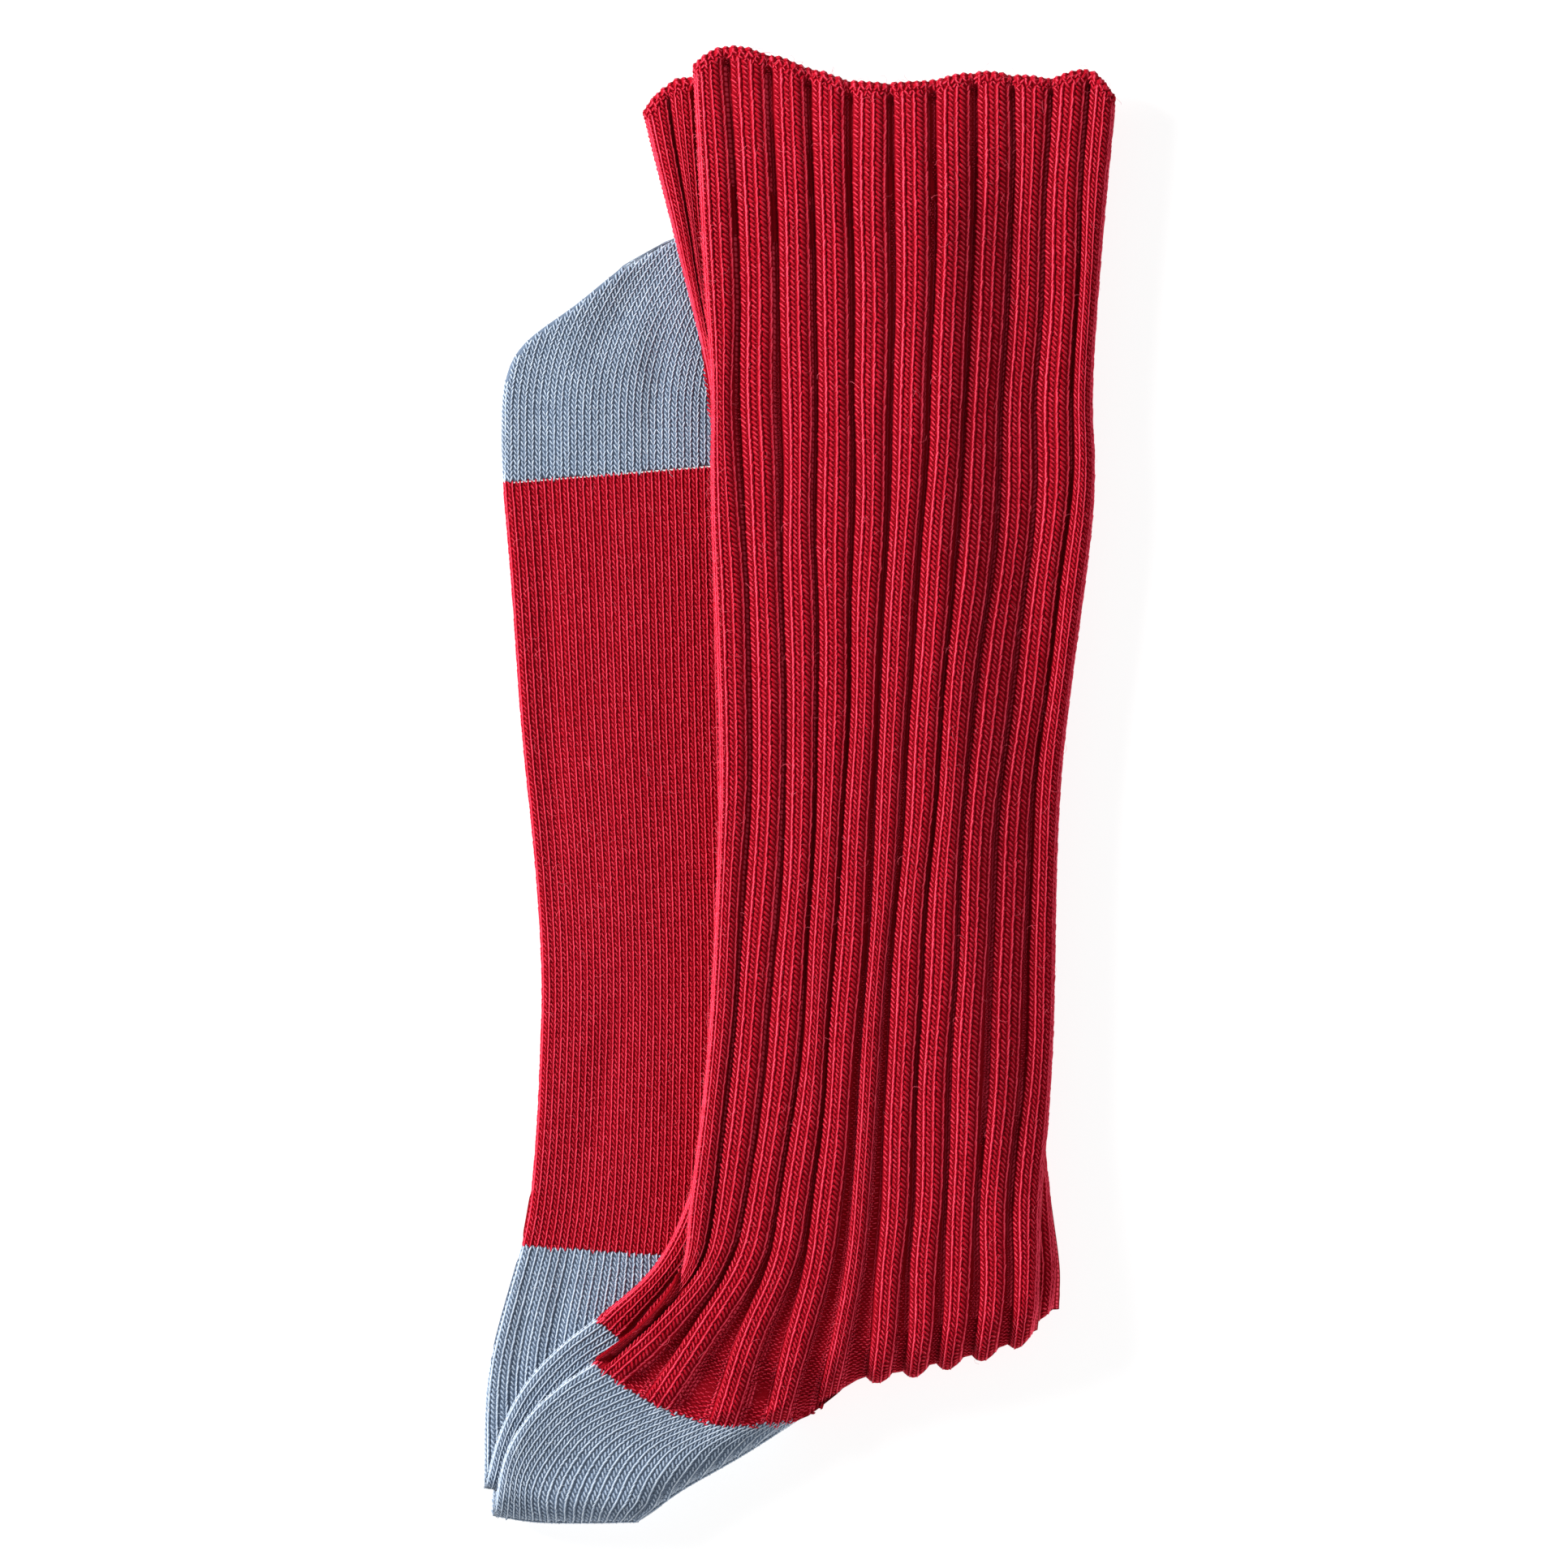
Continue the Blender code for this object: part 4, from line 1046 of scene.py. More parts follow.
def lower_wales(sock, lines, count=FOOT_WALES):
    """Stitches of a foot or toe's first wales on top, and of those that show under its edge."""
    over = jersey_wales(sock, lines, np.arange(count))
    return np.concatenate([over, jersey_wales(sock, lines, np.arange(-UNDER_EDGE, 0), True)])


def within_toe(table, clear, reach=FAR):
    """The stitches inside a toe's outline that lie between these distances from its end."""
    distance = nearest(table[:, :2], TOE_END)
    return table[within(table[:, :2], TOE_OUTLINE) & (distance > clear) & (distance < reach)]


def rim_wales(sock, reach):
    """Stitches of a toe's top and underside within this reach of its end."""
    numbers = np.arange(FOOT_WALES)
    over = jersey_wales(sock, toe_wale_lines, numbers)
    under = jersey_wales(sock, toe_wale_lines, numbers, True, -QUARTER * JERSEY_WALE)
    return within_toe(np.concatenate([over, under]), RIM_CLEAR, reach)


def nose_wales(sock, plan_of, wales):
    """Stitches on the underside of the outer sock's bend, where a plan grid reaches the fold."""
    courses = np.linspace(NOSE_START, 1, HEEL_POINTS)
    columns = (np.arange(wales) + 0.5) / wales

    def cloth_at(step):
        return lower_cloth(plan_of(columns + step, courses), sock, True)

    table = wales_on(cloth_at, -QUARTER / wales)
    table[:, STITCH["width"]] = np.clip(table[:, STITCH["width"]] / (2 * QUARTER), *HEEL_WIDTHS)
    distance = nearest(table[:, :2], sock.fold)
    return off_tips(table[(distance > NOSE_CLEAR) & (distance < NOSE_STITCHED)], sock)


def fold_wales(line, left_out=1):
    """Stitches that close the seam between the outer sock's two tubes along part of the fold."""
    places = np.arange(1, lengths(line)[-1] / JERSEY_WALE - left_out) * JERSEY_WALE

    def cloth_at(step):
        plan = at_length(line, places + step)
        height = equator(plan) + np.array(FOLD_ROWS)[:, None] * COURSE
        return with_height(np.broadcast_to(plan, (*height.shape, 2)), height)

    return wales_on(cloth_at, QUARTER * JERSEY_WALE, width=JERSEY_WALE)


def off_tips(table, sock):
    """Leaves out the stitches at a heel's two sharp tips and past the fold."""
    for tip in (sock.fold[0], sock.pouch_fold[-1]):
        table = table[np.linalg.norm(table[:, :2] - tip, axis=1) > TIP_CLEAR]
    side = [[sock.front_edge[-1][0], 0.0], [sock.back_edge[:, 0].min() - OUTSIDE, 0.0]]
    return table[within(table[:, :2], np.vstack([sock.fold, side, sock.fold[:1]]))]


def shown(table, above):
    """The stitches that don't lie well under the stretches with these plan outlines."""
    plan = table[:, :2]
    keep = np.ones(len(plan), bool)
    for outline in above:
        keep &= ~(within(plan, outline) & (nearest(plan, outline) > COVER))
    return table[keep]


# ---------------------------------------------------------------- nodes
class Wire:
    """A node's output, which takes part in expressions."""

    def __init__(self, graph, socket):
        self.graph = graph
        self.socket = socket

    def maths(self, operation, *values):
        """Adds a Math node on these values."""
        return self.graph.add("ShaderNodeMath", {"operation": operation}, dict(enumerate(values)))

    def __add__(self, other):
        return self.maths("ADD", self, other)

    __radd__ = __add__

    def __sub__(self, other):
        return self.maths("SUBTRACT", self, other)

    def __rsub__(self, other):
        return self.maths("SUBTRACT", other, self)

    def __mul__(self, other):
        return self.maths("MULTIPLY", self, other)

    __rmul__ = __mul__

    def __pow__(self, other):
        return self.maths("POWER", self, other)

    def __rpow__(self, other):
        return self.maths("POWER", other, self)

    def fraction(self):
        """What is left over the whole number."""
        return self.maths("FRACT", self)

    def above(self, other):
        """1 where the value is greater and 0 elsewhere."""
        return self.maths("GREATER_THAN", self, other)


class Graph:
    """Adds nodes to a tree."""

    def __init__(self, tree):
        self.tree = tree

    def add(self, kind, settings=None, sockets=None, output=0):
        """Adds a node: its settings, its sockets' values or wires, and the output that is wanted.

        A tuple of outputs gives a wire for each.
        """
        node = self.tree.nodes.new(kind)
        for name, value in (settings or {}).items():
            if name == "stops":
                ramp = node.color_ramp.elements
                for end, (position, shade) in ((0, value[0]), (1, value[-1])):
                    ramp[end].position, ramp[end].color = position, shade
                for position, shade in value[1:-1]:
                    ramp.new(position).color = shade
            else:
                setattr(node, name, value)
        for name, value in (sockets or {}).items():
            for one in value if isinstance(value, list) else [value]:
                if isinstance(one, Wire):
                    self.tree.links.new(one.socket, node.inputs[name])
                else:
                    node.inputs[name].default_value = one
        if isinstance(output, tuple):
            return [Wire(self, node.outputs[one]) for one in output]
        return Wire(self, node.outputs[output]) if node.outputs else None

    def mixed(self, factor, first, second):
        """A colour between two."""
        return self.add("ShaderNodeMix", {"data_type": "RGBA"}, {0: factor, 6: first, 7: second}, 2)

    def attribute(self, name):
        """A number stored on the mesh."""
        return self.add("ShaderNodeAttribute", {"attribute_name": name}, output="Fac")

    def noise(self, scale, detail):
        """Fine noise fixed to the piece, from 0 to 1."""
        place = self.add("ShaderNodeTexCoord", output="Object")
        return self.add("ShaderNodeTexNoise", sockets={"Vector": place, "Scale": scale, "Detail": detail})

    def ramp(self, height, heights, colours):
        """The colour at a height, from the heights of some colours."""
        stops = [(position, opaque(rgb)) for position, rgb in zip(heights, colours)]
        return self.add("ShaderNodeValToRGB", {"stops": stops}, {"Fac": height})


def opaque(rgb):
    """A colour with its alpha."""
    return (*rgb, 1.0)


# ---------------------------------------------------------------- yarn and cloth
ROUGHNESS = 0.9  # of dry cotton, where a finish has none of its own
SHINE = 0.08  # specular level
SHEEN_ROUGHNESS = 0.5
YARN_GRAIN = 1.6 / MM  # scale of the unevenness along the yarn
YARN_UNEVEN = 0.14  # how far that moves a strand between its painted shade and its painted highlight
STITCH_UNEVEN = 0.07  # and how far one stitch differs from the next
YARN_HEIGHTS = (0.30, 0.60, 0.76, 0.93)  # where a strand takes its painted shade, its body colour, still so, and its painted highlight
SIDE_ROUGHNESS = 0.95  # at a strand's sides
CREST_SMOOTHER = 0.15  # how much smoother it is along its crest
CLOTH_GRAIN = 1.2 / MM  # the same two for the cloth under the stitches
CLOTH_UNEVEN = 0.4
CLOTH_HEIGHTS = (0.2, 0.65, 1.0)  # where the cloth takes its painted shade, its body colour and its painted highlight
V_SLANTS = (0.8, 0.25)  # courses that the left strand of a stitch rises, and the right one sinks
STRAND_ROUND = 0.6  # power that rounds a strand's height across it
STRAND_DIP = 0.35  # share of its height that is left between two courses
BUMP = {"Strength": 0.7, "Distance": 0.45 * MM}
YARNS = {
    # yarn: name, and shares of the body colour for the painted shade at the strands' sides and
    # between them, on the ground under the stitches, and deep in a narrow valley
    "red": ("cherry_red", (0.66, 0.50, 0.50), (0.62, 0.50, 0.50), (0.90, 0.90, 0.90)),
    "grey": ("blue_grey", (0.58, 0.58, 0.58), (0.52, 0.54, 0.58), (0.52, 0.54, 0.58)),
}


def settings():
    """The sizes and colours that a user sets."""
    return bpy.context.scene.sock_knitting


def new_material(name):
    """An empty material of this name, and its graph."""
    material = bpy.data.materials.get(name) or bpy.data.materials.new(name)
    material.use_nodes = True
    material.node_tree.nodes.clear()
    return material, Graph(material.node_tree)


def surface(graph, sockets):
    """Ends a material in a Principled shader."""
    values = {"Roughness": ROUGHNESS, "Specular IOR Level": SHINE, **sockets}
    shader = graph.add("ShaderNodeBsdfPrincipled", sockets=values)
    graph.add("ShaderNodeOutputMaterial", sockets={"Surface": shader})


def sheen(pale):
    """Soft sheen of the cotton, the same all over."""
    return {
        "Sheen Weight": settings().sheen,
        "Sheen Roughness": SHEEN_ROUGHNESS,
        "Sheen Tint": opaque(pale),
    }


def yarn_material(name, deep, body, pale):
    """Cotton yarn of a stitch: a painted highlight along its crest, painted shade at its sides, and uneven
    along the yarn.
    """
    material, graph = new_material(name)
    crest, tone = graph.attribute("crest"), graph.attribute("tone")
    grain = graph.noise(YARN_GRAIN, detail=2.0)
    height = crest + YARN_UNEVEN * (grain - 0.5) + STITCH_UNEVEN * (tone - 0.5)
    # painted shade at the strand's sides and a painted highlight along its crest
    base = graph.ramp(height, YARN_HEIGHTS, (deep, body, body, pale))
    rough = SIDE_ROUGHNESS - CREST_SMOOTHER * crest
    surface(graph, {"Base Color": base, "Roughness": rough, **sheen(pale)})
    return material


def cloth_material(name, deep, body, pale, ground, hollow):
    """The tube's own knitting where no stitches are made, with a painted highlight and painted shade on its
    strands, and painted shade on the ground under the stitches and in the valleys.
    """
    material, graph = new_material(name)
    knit = graph.add("ShaderNodeUVMap", {"uv_map": "Knit"})
    wale, course = graph.add("ShaderNodeSeparateXYZ", sockets={0: knit}, output=(0, 1))
    right = wale.fraction().above(0.5)
    across = (wale * 2).fraction()
    along = (course + (1 - right) * across * V_SLANTS[0] - right * across * V_SLANTS[1]).fraction()
    height = (across * (1 - across) * 4) ** STRAND_ROUND
    height = height * (STRAND_DIP + (1 - STRAND_DIP) * (along * (1 - along) * 4) ** 0.5)
    grain = CLOTH_UNEVEN * (graph.noise(CLOTH_GRAIN, detail=3.0) - 0.5)
    # painted highlight on the knit pattern's strands and painted shade between them
    base = graph.ramp(height + grain, CLOTH_HEIGHTS, (deep, body, pale))
    # painted shade on the ground under the stitches
    base = graph.mixed(graph.attribute("covered"), base, opaque(ground))
    # painted shade deep in the narrow valleys
    base = graph.mixed(graph.attribute("hollow"), base, opaque(hollow))
    bump = graph.add("ShaderNodeBump", sockets={"Height": height, **BUMP})
    surface(graph, {"Base Color": base, "Normal": bump, **sheen(pale)})
    return material


def yarn_and_cloth(tone):
    """Materials of the red or grey yarn, and of the cloth knitted from it."""
    look = settings()
    name, *shares = YARNS[tone]
    # the crest colour is a painted highlight, and the shares give painted shade at the strands' sides, on
    # the ground under the stitches and in the valleys
    body, pale = np.array(getattr(look, tone)), getattr(look, tone + "_crest")
    deep, ground, hollow = (body * share for share in shares)
    yarn = yarn_material(name + "_yarn", deep, body, pale)
    return yarn, cloth_material(name + "_knit", deep, body, pale, ground, hollow)


# ---------------------------------------------------------------- stitches by Geometry Nodes
# The strands of each kind of stitch in wale widths, course heights and yarn depths: a strand's
# middle, its half width, half length and half depth, its turn in degrees, and how far its
# crest reaches into the painted highlight.
SHAPES = {
    # x, y, wide, long, deep, turn, pale
    "plain": ((-0.21, 0.08, 0.200, 0.70, 0.46, 23.0, 0.89), (0.24, 0.00, 0.185, 0.98, 0.62, -3.5, 1.10)),
    "toe": ((-0.21, 0.08, 0.185, 0.72, 0.50, 24.0, 0.97), (0.22, 0.00, 0.175, 0.86, 0.62, -10.0, 1.08)),
    "purl": ((-0.24, 0.20, 0.24, 0.42, 0.42, 74.0, 0.95), (0.24, -0.20, 0.24, 0.42, 0.42, 106.0, 0.95)),
    "loop": ((-0.22, 0.0, 0.24, 0.62, 0.50, -22.0, 0.92), (0.22, 0.0, 0.24, 0.62, 0.50, 22.0, 0.92)),
    "bead": ((0.0, 0.0, 0.47, 0.42, 0.55, 8.0, 0.90),),
}
STITCH_INPUTS = (
    ("Yarn Depth", "Float", 0.62 * MM),
    ("Size Spread", "Float", 0.11),
    ("Turn Spread", "Float", 0.12),
    ("Seed", "Int", 1),
)
UNEVEN = {"Size Spread": 0.30, "Turn Spread": 0.40, "Yarn Depth": 0.75 * MM}  # at a cuff's bound edge
FIBRE_INPUTS = (("Thickness Share", "Float", 0.011),)
FIBRE_BEND = {"Resolution": 3, "Start": (0, 0, -0.05), "Middle": (0.4, 0.5, 0.5), "End": (0, 1, 0.1)}


def new_tree(name, inputs):
    """Starts a Geometry Nodes tree, and gives its graph and the wires of its inputs."""
    tree = bpy.data.node_groups.new(name, "GeometryNodeTree")
    inputs = (("Geometry", "Geometry", None), *inputs, ("Yarn", "Material", None))
    for label, kind, default in inputs:
        socket = tree.interface.new_socket(label, in_out="INPUT", socket_type="NodeSocket" + kind)
        if default is not None:
            socket.default_value = default
            socket.min_value = 0
    tree.interface.new_socket("Geometry", in_out="OUTPUT", socket_type="NodeSocketGeometry")
    graph = Graph(tree)
    return graph, graph.add("NodeGroupInput", output=tuple(range(len(inputs))))


def stored(graph, geometry, domain, name, value):
    """The geometry with a number stored on it."""
    kinds = {"data_type": "FLOAT", "domain": domain}
    sockets = {"Geometry": geometry, "Name": name, "Value": value}
    return graph.add("GeometryNodeStoreNamedAttribute", kinds, sockets)


def named(graph, name, kind="FLOAT"):
    """A stored value of a point."""
    return graph.add("GeometryNodeInputNamedAttribute", {"data_type": kind}, {"Name": name})


def random_value(graph, seed, least=0.0, most=1.0):
    """A number drawn for each point."""
    return graph.add("FunctionNodeRandomValue", {"data_type": "FLOAT"}, {2: least, 3: most, 8: seed}, 1)


def laid(graph):
    """A point's turn: its Z out of the cloth and its Y up the wale."""
    directions = {0: named(graph, "out", "FLOAT_VECTOR"), 1: named(graph, "up", "FLOAT_VECTOR")}
    return graph.add("FunctionNodeAxesToRotation", {"primary_axis": "Z", "secondary_axis": "Y"}, directions)


def set_on(graph, points, shape, turn, size):
    """The shape set on each point."""
    sockets = {"Points": points, "Instance": shape, "Rotation": turn, "Scale": size}
    return graph.add("GeometryNodeInstanceOnPoints", sockets=sockets)


def end_tree(graph, copies, yarn, smooth):
    """Makes the copies a real mesh of one yarn."""
    mesh = graph.add("GeometryNodeRealizeInstances", sockets={0: copies})
    if smooth:
        mesh = graph.add("GeometryNodeSetShadeSmooth", sockets={0: mesh})
    mesh = graph.add("GeometryNodeSetMaterial", sockets={"Geometry": mesh, "Material": yarn})
    graph.add("NodeGroupOutput", sockets={0: mesh})
    return graph.tree


def strand(graph, x, y, wide, long, deep, turn, pale):
    """One leg of a stitch with its crest marked for the painted highlight."""
    ball = graph.add("GeometryNodeMeshUVSphere", sockets={"Segments": 4, "Rings": 3, "Radius": 1.0})
    lying = graph.add("GeometryNodeTransform", sockets={"Geometry": ball, "Rotation": (np.pi / 2, 0, 0)})
    place = graph.add("GeometryNodeInputPosition")
    height = graph.add("ShaderNodeSeparateXYZ", sockets={0: place}, output=2)
    sockets = {
        "Geometry": stored(graph, lying, "POINT", "crest", height * (0.5 * pale) + 0.5),
        "Translation": (x, y, 0),
        "Rotation": (0, 0, np.radians(turn)),
        "Scale": (wide, long, deep),
    }
    return graph.add("GeometryNodeTransform", sockets=sockets)


def stitch_tree(kind):
    """A tree that sets one stitch on each point, turned and sized by the point's attributes."""
    name = kind + " stitches"
    if name in bpy.data.node_groups:
        return bpy.data.node_groups[name]
    graph, (points, depth, spread, turn_spread, seed, yarn) = new_tree(name, STITCH_INPUTS)
    strands = [strand(graph, *row) for row in SHAPES[kind]]
    shape = graph.add("GeometryNodeJoinGeometry", sockets={0: strands})
    sway = random_value(graph, seed, -1.0 * turn_spread, turn_spread)
    sway = graph.add("ShaderNodeCombineXYZ", sockets={2: sway})
    sway = graph.add("FunctionNodeEulerToRotation", sockets={0: sway})
    turn = graph.add("FunctionNodeRotateRotation", {"rotation_space": "LOCAL"}, {0: laid(graph), 1: sway})
    growth = random_value(graph, seed + 1, 1 - spread, 1 + spread)
    sizes = (named(graph, "width"), named(graph, "height"), depth)
    sizes = {number: size * growth for number, size in enumerate(sizes)}
    size = graph.add("ShaderNodeCombineXYZ", sockets=sizes)
    copies = set_on(graph, points, shape, turn, size)
    copies = stored(graph, copies, "INSTANCE", "tone", random_value(graph, seed + 2))
    return end_tree(graph, copies, yarn, smooth=True)


def fibre_tree():
    """A tree that sets one bent fibre on each point, as long as the point's width."""
    name = "loose fibres"
    if name in bpy.data.node_groups:
        return bpy.data.node_groups[name]
    graph, (points, thickness, yarn) = new_tree(name, FIBRE_INPUTS)
    path = graph.add("GeometryNodeCurveQuadraticBezier", sockets=FIBRE_BEND)
    rim = graph.add("GeometryNodeCurvePrimitiveCircle", sockets={"Resolution": 3, "Radius": thickness})
    sockets = {"Curve": path, "Profile Curve": rim, "Fill Caps": True}
    shape = graph.add("GeometryNodeCurveToMesh", sockets=sockets)
    copies = set_on(graph, points, shape, laid(graph), named(graph, "width"))
    return end_tree(graph, copies, yarn, smooth=False)


# ---------------------------------------------------------------- pieces
BAKE_CELL = 0.45  # half of a stitch's cell in the bake's map that it fills
CELL_REACH = (1.6, 1.4)  # and what that half holds across and along the wale
STITCH_SINK = 0.22  # a plain stitch's middle lies this far inside the cloth's surface
PURL_SINK = 0.1  # a purl bar's
LOOP_SINK = 0.2  # and a cuff's loops and beads
BEAD_HEIGHT = 0.8 * CUFF_STEP
LEG_GROUPS = (range(0, 4), range(4, 8), range(8, LEG_RIBS))  # ribs stitched as one piece
INNER_RIBS = (0, 1, 2, LEG_RIBS - 1)  # ribs of the inner leg that show
FLANK_PLACES = (-0.96, -0.86, -0.7)  # wales of the leg's back edge with loose fibres
HEEL_GRID = (40, 48)  # columns and rows of a heel's tube
FLAT_COLUMNS = 44  # of a foot's and a toe's tube
FOOT_COURSES = 64  # rows of a foot's tube
TOE_COURSES = 40  # rows of a toe's tube


def linked(name, data):
    """A new object in the scene."""
    thing = bpy.data.objects.new(name, data)
    bpy.context.collection.objects.link(thing)
    return thing


def cotton_piece(name, mesh):
    """A finished mesh as a piece of the root body."""
    piece = linked(name, mesh)
    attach(piece, "root")
    return piece


def mark(mesh, name, values):
    """Stores a number or a direction on each point of a mesh."""
    values = np.ascontiguousarray(values, np.float32)
    kind, field = ("FLOAT", "value") if values.ndim == 1 else ("FLOAT_VECTOR", "vector")
    mesh.attributes.new(name, kind, "POINT").data.foreach_set(field, values.ravel())


def add_map(mesh, name, places):
    """Adds a UV map from a place for each corner of the faces."""
    mesh.uv_layers.new(name=name).data.foreach_set("uv", np.asarray(places, np.float32).ravel())


def add_bake_map(mesh, table):
    """Gives each stitch of a mesh its own cell of the bake's map, at its wale and course."""
    corners = np.zeros(len(mesh.loops), np.int32)
    mesh.loops.foreach_get("vertex_index", corners)
    points = np.zeros(len(mesh.vertices) * 3, np.float32)
    mesh.vertices.foreach_get("co", points)
    points = points.reshape(-1, 3) / MM
    stitch = np.arange(len(points)) // (len(points) // len(table))
    offset = points - table[stitch, STITCH["place"]]
    up, out = table[stitch, STITCH["up"]], table[stitch, STITCH["out"]]
    cell = []
    for label, side, reach in zip(("wale", "course"), (np.cross(up, out), -up), CELL_REACH):
        number = table[:, STITCH[label]]
        within_cell = BAKE_CELL * np.clip((offset * side).sum(1) / reach, -1, 1)
        cell.append((number[stitch] - number.min() + 1 + within_cell) / (number.max() - number.min() + 2))
    add_map(mesh, "OFBake", np.stack([cell[0], 1 - cell[1]], axis=1)[corners])


def knit_piece(name, table, tree, yarn, height=COURSE, inputs=None):
    """Makes the stitches of a table, given in millimetres, as one plain mesh."""
    places = bpy.data.meshes.new(name + "_places")
    places.from_pydata([tuple(point) for point in table[:, STITCH["place"]] * MM], [], [])
    marks = {
        "up": table[:, STITCH["up"]],
        "out": table[:, STITCH["out"]],
        "width": table[:, STITCH["width"]] * MM,
        "height": np.full(len(table), height * MM),
    }
    for label, values in marks.items():
        mark(places, label, values)
    source = linked(places.name, places)
    modifier = source.modifiers.new("stitches", "NODES")
    modifier.node_group = tree
    given = {"Yarn": yarn, **(inputs or {})}
    for item in tree.interface.items_tree:
        if item.in_out == "INPUT" and item.name in given:
            modifier[item.identifier] = given[item.name]
    evaluated = source.evaluated_get(bpy.context.evaluated_depsgraph_get())
    mesh = bpy.data.meshes.new_from_object(evaluated)
    mesh.name = name
    for label in marks:
        mesh.attributes.remove(mesh.attributes[label])
    add_bake_map(mesh, table)
    bpy.data.objects.remove(source)
    return cotton_piece(name, mesh)


def stitches(name, table, tone, kind="plain", height=COURSE, sink=STITCH_SINK, inputs=None):
    """Makes the stitches of a table in the red or grey yarn."""
    table = table.copy()
    table[:, STITCH["place"]] -= table[:, STITCH["out"]] * sink
    return knit_piece(name, table, stitch_tree(kind), yarn_and_cloth(tone)[0], height, inputs)


def nap(name, table, tone, count, seed):
    """Loose fibres that stand off the yarn."""
    draw = np.random.default_rng(seed)
    count = min(count, len(table))
    table = table[draw.choice(len(table), count, replace=False)]
    up, out = table[:, STITCH["up"]].copy(), table[:, STITCH["out"]]
    side = np.cross(up, out)
    turn = draw.uniform(0, 2 * np.pi, (count, 1))
    for direction, stray in zip((up, side), FIBRE_STRAY):
        table[:, STITCH["place"]] += direction * draw.uniform(-stray, stray, (count, 1))
    table[:, STITCH["up"]] = up * np.cos(turn) + side * np.sin(turn)
    least, most = FIBRE_LENGTH
    table[:, STITCH["width"]] = least + (most - least) * draw.uniform(0, 1, count) ** 2
    # the fibres take the painted highlight colour of the yarn's crest, paled towards white
    crest = np.array(getattr(settings(), tone + "_crest"))
    material, graph = new_material(tone + "_fibre")
    surface(graph, {"Base Color": opaque(crest + (1 - crest) * FIBRE_PALE)})
    return knit_piece(name, table, fibre_tree(), material)


def tube_piece(node, top, low, wales, marks, tone, closed=False):
    """Makes a stretch's tube in its node's place, and hides the node's part."""
    points, faces, knit, bake = tube(top, low, wales, closed)
    mesh = bpy.data.meshes.new(node + "_cloth")
    mesh.from_pydata([tuple(point) for point in points * MM], [], faces)
    add_map(mesh, "Knit", knit)
    add_map(mesh, "OFBake", bake)
    for label, (above, beneath) in marks.items():
        outside = np.concatenate([above, beneath[:, ::-1]], axis=1).ravel()
        mark(mesh, label, np.concatenate([outside, np.zeros(len(points) - len(outside))]))
    mesh.materials.append(yarn_and_cloth(tone)[1])
    mesh.shade_smooth()
    piece = cotton_piece(mesh.name, mesh)
    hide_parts(node)


def leg_valley_shade(sock, ribs, places, shares):
    """How much painted shade a leg's valleys have, at the top and beneath, from 0 to 1."""
    ribs = np.array(ribs)
    pitch = np.linalg.norm(np.diff(sock.lines_at(shares), axis=1), axis=-1)[:, ribs]
    gap = pitch - 2 * rib_half(pitch, shares)
    edge = np.isin(np.arange(len(places)), (0, len(places) - 1))
    deep = change(np.abs(places), *HOLLOW_FLANK) * (1 - change(gap, *OPEN_VALLEY))
    deep = deep * ease(pitch / RIB_NARROW) * (1 - edge)
    deep = deep * change(shares * sock.leg_length, *HOLLOW_START)[:, None]
    first = (ribs == 0) | (ribs == 1) & (places < 0)
    deep = deep * (1 - first * FIRST_SOFTENS * change(shares, *HOLLOW_FIRST)[:, None])
    return deep * (1.0 if sock.outer else INNER_HOLLOW), deep


def leg_piece(sock, ribbed):
    """Makes a leg's tube, in which these ribs have their round crowns."""
    ribs, places, wales = leg_columns(ribbed)
    shares = leg_shares()
    sides = [leg_cloth(sock, ribs, places, shares, under) for under in (False, True)]
    hollow = leg_valley_shade(sock, ribs, places, shares)
    # painted shade on the ground under the crowns and in the dark valleys
    covered = np.maximum(np.abs(places) < CROWN_COVERED, ease(hollow[0] * HOLLOW_COVERED))
    marks = {"covered": (covered, 0 * covered), "hollow": hollow}
    tube_piece(sock.name + "_leg", *skinned(*sides), wales, marks, "red")


def plain_piece(node, sock, plan, cloth, wales, outline, tone, closed=False):
    """Makes the tube of a stretch in plain knitting, whose stitches stop at the outline."""
    sides = [cloth(plan, sock, under) for under in (False, True)]
    # painted shade on the ground under the stitches, fading out at the outline
    covered = ease(nearest(plan, outline, OUTLINE_FADE) / OUTLINE_FADE)
    tube_piece(node, *skinned(*sides), wales, {"covered": (covered, 0 * covered)}, tone, closed)


def heel_pieces(sock):
    """Makes the tubes of a heel pouch, above and under the fold."""
    columns, courses = (np.linspace(0, 1, count) for count in HEEL_GRID)
    halves = (("upper", sock.heel_rows, upper_heel_cloth), ("lower", sock.under_rows, lower_cloth))
    for half, rows, cloth in halves:
        plan = table_plan(rows, edge_crowded(columns), end_crowded(courses))
        node = f"{sock.name}_heel_{half}"
        plain_piece(node, sock, plan, cloth, columns * HEEL_WALES, sock.fold, "grey")


def flat_pieces(sock):
    """Makes the tubes of a foot and its toe."""
    columns = edge_crowded(np.linspace(0, 1, FLAT_COLUMNS))
    wales = columns * FOOT_ROUND
    plan = foot_plan(sock, columns, end_crowded(np.linspace(0, 1, FOOT_COURSES)))
    plain_piece(sock.name + "_foot", sock, plan, lower_cloth, wales, TOE_CAP, "red")
    plan = toe_plan(sock, columns, 1 - end_crowded(1 - np.linspace(0, 1, TOE_COURSES)))
    plain_piece(sock.name + "_toe", sock, plan, lower_cloth, wales, TOE_CAP, "grey", closed=True)


